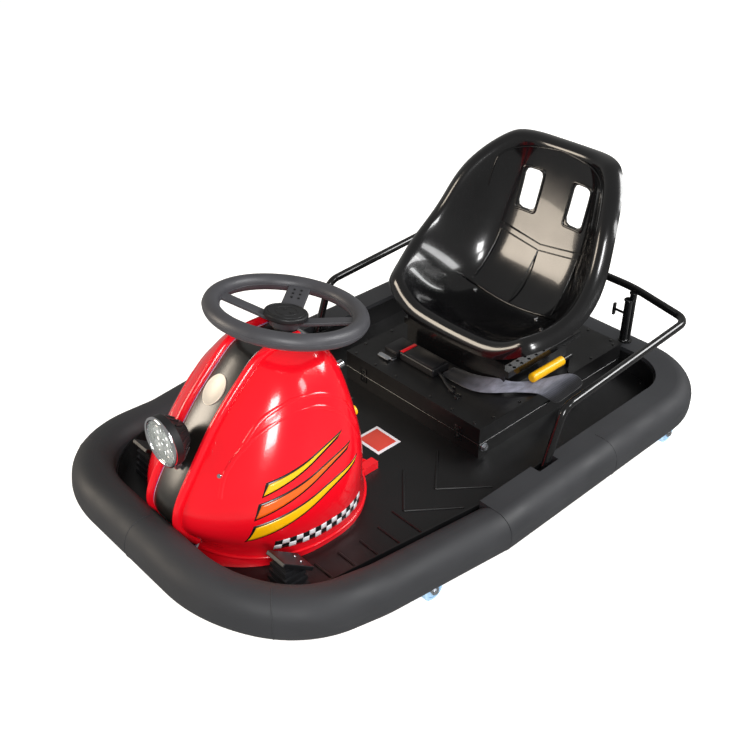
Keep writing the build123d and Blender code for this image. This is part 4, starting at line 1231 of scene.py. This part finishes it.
class KART_OT_wheels(Operator):
    """Nuts of the casters, and tread and bolts of the drive wheel"""
    bl_idname = "kart.wheels"
    bl_label = "Wheels"

    def execute(self, context):
        for ending, (x, y) in CASTERS.items():
            bm = bmesh.new()
            for side in SIDES:
                place = at(x + side * CASTER_REACH, y + CASTER_TRAIL, CASTER_AXLE_Z)
                head(bm, place, Vector((side, 0, 0)), NUT_R * MM, NUT_T * MM, HEX_SIDES)
            closed_piece("caster_nuts_" + ending, bm, "zinc_plate", "caster_steel", "caster_" + ending)
        self.tyre()
        self.bolts()
        return {"FINISHED"}

    def tyre(self):
        """Tyre spun from its section, with slanted grooves pressed into its tread."""
        outline = list(TYRE_SECTION) + [(-x, r) for x, r in reversed(TYRE_SECTION)]
        bm = bmesh.new()
        verts = [bm.verts.new(at(x, 0, r)) for x, r in outline]
        edges = [bm.edges.new(pair) for pair in zip(verts, verts[1:] + verts[:1])]
        bmesh.ops.spin(bm, geom=verts + edges, cent=(0, 0, 0), axis=(1, 0, 0), angle=FULL_TURN,
                       steps=sizes().blocks, use_merge=True)
        bmesh.ops.remove_doubles(bm, verts=bm.verts, dist=WELD)
        bmesh.ops.recalc_face_normals(bm, faces=bm.faces)
        grooves = []
        crown = sorted({round(x, 1) for x, r in outline})
        for face in bm.faces:
            middle = face.calc_center_median()
            out = Vector((0, middle.y, middle.z)).length / MM
            if out < TREAD_FROM:
                continue
            column = sum(1 for x in crown if x * MM < middle.x)
            turn = Vector((0, 1)).angle_signed(Vector((middle.y, middle.z))) / FULL_TURN
            step = round(turn * sizes().blocks - 0.5)
            lean = abs(column - len(crown) // 2)
            if (step + lean) % TREAD_PERIOD == 0:
                grooves.append(face)
        bmesh.ops.inset_individual(bm, faces=grooves, thickness=TREAD_EDGE * MM, depth=-TREAD_DEPTH * MM)
        bmesh.ops.transform(bm, matrix=steer_place(), verts=bm.verts)
        made = piece("drive_tread", bm, "tyre_rubber", "tyre_rubber", "drive_wheel")
        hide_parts("drive_tyre")

    def bolts(self):
        """Bolts of the rim and nuts on the axle."""
        place = steer_place()
        rim, axle = bmesh.new(), bmesh.new()
        for side in SIDES:
            out = (place.to_3x3() @ Vector((side, 0, 0))).normalized()
            for n in range(RIM_BOLTS):
                turn = FULL_TURN * n / RIM_BOLTS
                spot = place @ at(side * RIM_FACE, RIM_BOLT_REACH * cos(turn), RIM_BOLT_REACH * sin(turn))
                head(rim, spot, out, RIM_BOLT_R * MM, RIM_BOLT_R * MM, HEX_SIDES)
            spot = place @ at(side * AXLE_NUT_X, 0, 0)
            head(axle, spot, out, AXLE_NUT_R * MM, AXLE_NUT_R * MM / 2, HEX_SIDES)
        closed_piece("drive_rim_bolts", rim, "zinc_plate", "axle_steel", "drive_wheel")
        closed_piece("drive_axle_nuts", axle, "zinc_plate", "axle_steel", "steering")


# Bumper and rail

# Mould seams of the bumper: point on the centre line and the way along it
BUMPER_SEAMS = (
    ((293.0, -551.0, 151.0), (0.62, 0.77)),
    ((389.0, 250.0, 118.0), (0.0, 1.0)),
    ((0.0, 617.0, 118.0), (1.0, 0.0)),
    ((0.0, -616.0, 170.0), (1.0, 0.0)),
)
SEAM_TURNS = range(-70, 111, 12)
SEAM_R = 1.1
RAIL_WELDS = ((198.0, 605.0, 296.0), (-198.0, 605.0, 296.0))
POST_R = 8.0
WELD_R = 2.6
# Rings round the flag tube, and round the feet of the rail
FLAG = (198.0, 587.7)
FLAG_R = 9.0
FLAG_RINGS = (176.0, 284.0)
FOOT = (358.0, 98.0, 141.0)
FOOT_R = 10.0
FOOT_LEAN = 19.0


class KART_OT_bumper_rail(Operator):
    """Mould seams of the bumper, welds and rings of the guard rail"""
    bl_idname = "kart.bumper_rail"
    bl_label = "Bumper and rail"

    def execute(self, context):
        tree = skin("bumper_front", "bumper_rear")
        seams = []
        for (x, y, z), (along_x, along_y) in BUMPER_SEAMS:
            for side in SIDES if x else (1,):
                middle = at(side * x, y, z)
                out = Vector((side * along_y, -along_x, 0))
                out = out if out.dot(Vector((middle.x, middle.y, 0))) > 0 else -out
                ways = [out * cos(radians(turn)) + Vector((0, 0, sin(radians(turn)))) for turn in SEAM_TURNS]
                seams.append([landed(tree, middle + way * AWAY / 4, -way)[0] for way in ways])
        beads("bumper_seams", seams, SEAM_R * MM, "charcoal_rubber", "bumper_rubber")
        rings = [ring(Matrix.Translation(at(*spot)), POST_R, 0) for spot in RAIL_WELDS]
        rings += [ring(Matrix.Translation(at(*FLAG, height)), FLAG_R, 0) for height in FLAG_RINGS]
        for side in SIDES:
            lean = Matrix.Rotation(radians(-FOOT_LEAN), 4, "X")
            rings.append(ring(Matrix.Translation(at(side * FOOT[0], *FOOT[1:])) @ lean, FOOT_R, 0))
        beads("rail_rings", rings, WELD_R * MM, "black_gloss_enamel", "rail_paint", closed=True)
        return {"FINISHED"}


# Studio

# Places and sizes in metres
CAMERA_PLACE = (1.298, -1.248, 1.465)
CAMERA_WAY = (-0.606, 0.565, -0.561)
# Width of the camera's sensor, in millimetres
SENSOR = 36.0
FLOOR_HALF = 14.0
LIGHT_AIM = (0.0, -0.1, 0.3)
# Name, place, width and height, which power it takes, tint
LIGHTS = (
    ("key", (-2.3, -2.8, 1.55), (1.4, 1.55), "key", "#FFF0DC"),
    ("pane_low", (3.1, -1.9, 1.9), (0.8, 0.8), "pane", "#FFFFFF"),
    ("pane_high", (2.7, -2.1, 2.9), (0.8, 0.8), "pane", "#FFFFFF"),
    ("window_front", (3.0, 0.9, 2.4), (0.6, 0.9), "window", "#FFFFFF"),
    ("window_rear", (2.3, 2.1, 2.5), (0.6, 0.9), "window", "#FFFFFF"),
    ("rear", (1.7, 2.9, 2.7), (1.6, 1.2), "rear", "#FFFFFF"),
)
FLOOR_TONE = "#F3F2F0"
FLOOR_DIM = 0.98
FLOOR_CLOUD = 0.8
FLOOR_ROUGHNESS = 0.6
ROOM_TONE = "#FBFAF7"


class KART_OT_studio(Operator):
    """Pale floor, soft lights and the camera"""
    bl_idname = "kart.studio"
    bl_label = "Studio"

    def execute(self, context):
        scene = context.scene
        studio = scene.kart_studio
        self.floor(studio.sweep)
        for name, place, (wide, tall), source, tint in LIGHTS:
            light = bpy.data.lights.new(name + "_light", "AREA")
            light.shape = "RECTANGLE"
            light.color = linear(tint)[:3]
            light.size, light.size_y = wide, tall
            light.energy = getattr(studio, source)
            made = bpy.data.objects.new(name + "_light", light)
            made.location = place
            made.rotation_euler = (Vector(LIGHT_AIM) - made.location).to_track_quat("-Z", "Y").to_euler()
            scene.collection.objects.link(made)
        room = bpy.data.worlds.new("room")
        room.use_nodes = True
        sky = room.node_tree.nodes["Background"]
        sky.inputs["Color"].default_value = linear(ROOM_TONE)
        seen = add(room.node_tree, "ShaderNodeLightPath").outputs["Is Camera Ray"]
        level = add(room.node_tree, "ShaderNodeMapRange", {"Value": seen, "To Min": studio.sky,
                                                           "To Max": 1.0})
        room.node_tree.links.new(level.outputs["Result"], sky.inputs["Strength"])
        scene.world = room
        scene.view_settings.view_transform = "Standard"
        camera = bpy.data.cameras.new("camera")
        camera.lens = studio.lens
        camera.sensor_width = SENSOR
        made = bpy.data.objects.new("camera", camera)
        made.location = CAMERA_PLACE
        made.rotation_euler = Vector(CAMERA_WAY).to_track_quat("-Z", "Y").to_euler()
        scene.collection.objects.link(made)
        scene.camera = made
        return {"FINISHED"}

    def floor(self, glow):
        """Pale sheet lit from below, as under a product shot, that can be looked through from underneath."""
        tree, shader, place = new_tree("pale_studio_floor")
        cloud = add(tree, "ShaderNodeTexNoise", {"Vector": place, "Scale": FLOOR_CLOUD, "Detail": 3.0})
        pale = linear(FLOOR_TONE)
        tone = add(tree, "ShaderNodeMix", {0: cloud.outputs["Fac"], MIX_A: tinted(pale, FLOOR_DIM),
                                           MIX_B: pale}, data_type="RGBA")
        tree.links.new(tone.outputs[MIX_OUT], shader.inputs["Base Color"])
        tree.links.new(tone.outputs[MIX_OUT], shader.inputs["Emission Color"])
        under = add(tree, "ShaderNodeNewGeometry").outputs["Backfacing"]
        shown = add(tree, "ShaderNodeMath", {0: 1.0, 1: under}, operation="SUBTRACT").outputs["Value"]
        tree.links.new(shown, shader.inputs["Alpha"])
        shader.inputs["Emission Strength"].default_value = glow
        shader.inputs["Roughness"].default_value = FLOOR_ROUGHNESS
        bm = bmesh.new()
        bmesh.ops.create_grid(bm, x_segments=2, y_segments=2, size=FLOOR_HALF)
        made = in_scene("studio_floor", bm)
        made.data.materials.append(bpy.data.materials["pale_studio_floor"])
        made.visible_glossy = False


STEPS = (
    "finishes", "cowl_trim", "side_design", "lamp", "seat", "hand_wheel", "floor", "battery_box",
    "belt", "pedals", "wheels", "bumper_rail", "studio",
)


class KART_PT_looks(Panel):
    """Steps that dress the kart"""
    bl_label = "Kart looks"
    bl_idname = "KART_PT_looks"
    bl_space_type = "VIEW_3D"
    bl_region_type = "UI"
    bl_category = "Kart"

    def draw(self, context):
        for step in STEPS:
            self.layout.operator("kart." + step)
        for group in (context.scene.kart_colours, context.scene.kart_sizes, context.scene.kart_studio):
            for name in group.__annotations__:
                self.layout.prop(group, name)


CLASSES = (
    KartColours, KartSizes, KartStudio, KART_OT_finishes, KART_OT_cowl_trim, KART_OT_side_design,
    KART_OT_lamp, KART_OT_seat, KART_OT_hand_wheel, KART_OT_floor, KART_OT_battery_box, KART_OT_belt,
    KART_OT_pedals, KART_OT_wheels, KART_OT_bumper_rail, KART_OT_studio, KART_PT_looks,
)


def register():
    """Make the classes and the groups of settings known to Blender."""
    for item in CLASSES:
        bpy.utils.register_class(item)
    bpy.types.Scene.kart_colours = PointerProperty(type=KartColours)
    bpy.types.Scene.kart_sizes = PointerProperty(type=KartSizes)
    bpy.types.Scene.kart_studio = PointerProperty(type=KartStudio)


def unregister():
    """Take them away again."""
    del bpy.types.Scene.kart_studio
    del bpy.types.Scene.kart_sizes
    del bpy.types.Scene.kart_colours
    for item in reversed(CLASSES):
        bpy.utils.unregister_class(item)


def main():
    """Dress the kart."""
    register()
    for step in STEPS:
        getattr(bpy.ops.kart, step)()


if __name__ == "__main__":
    main()
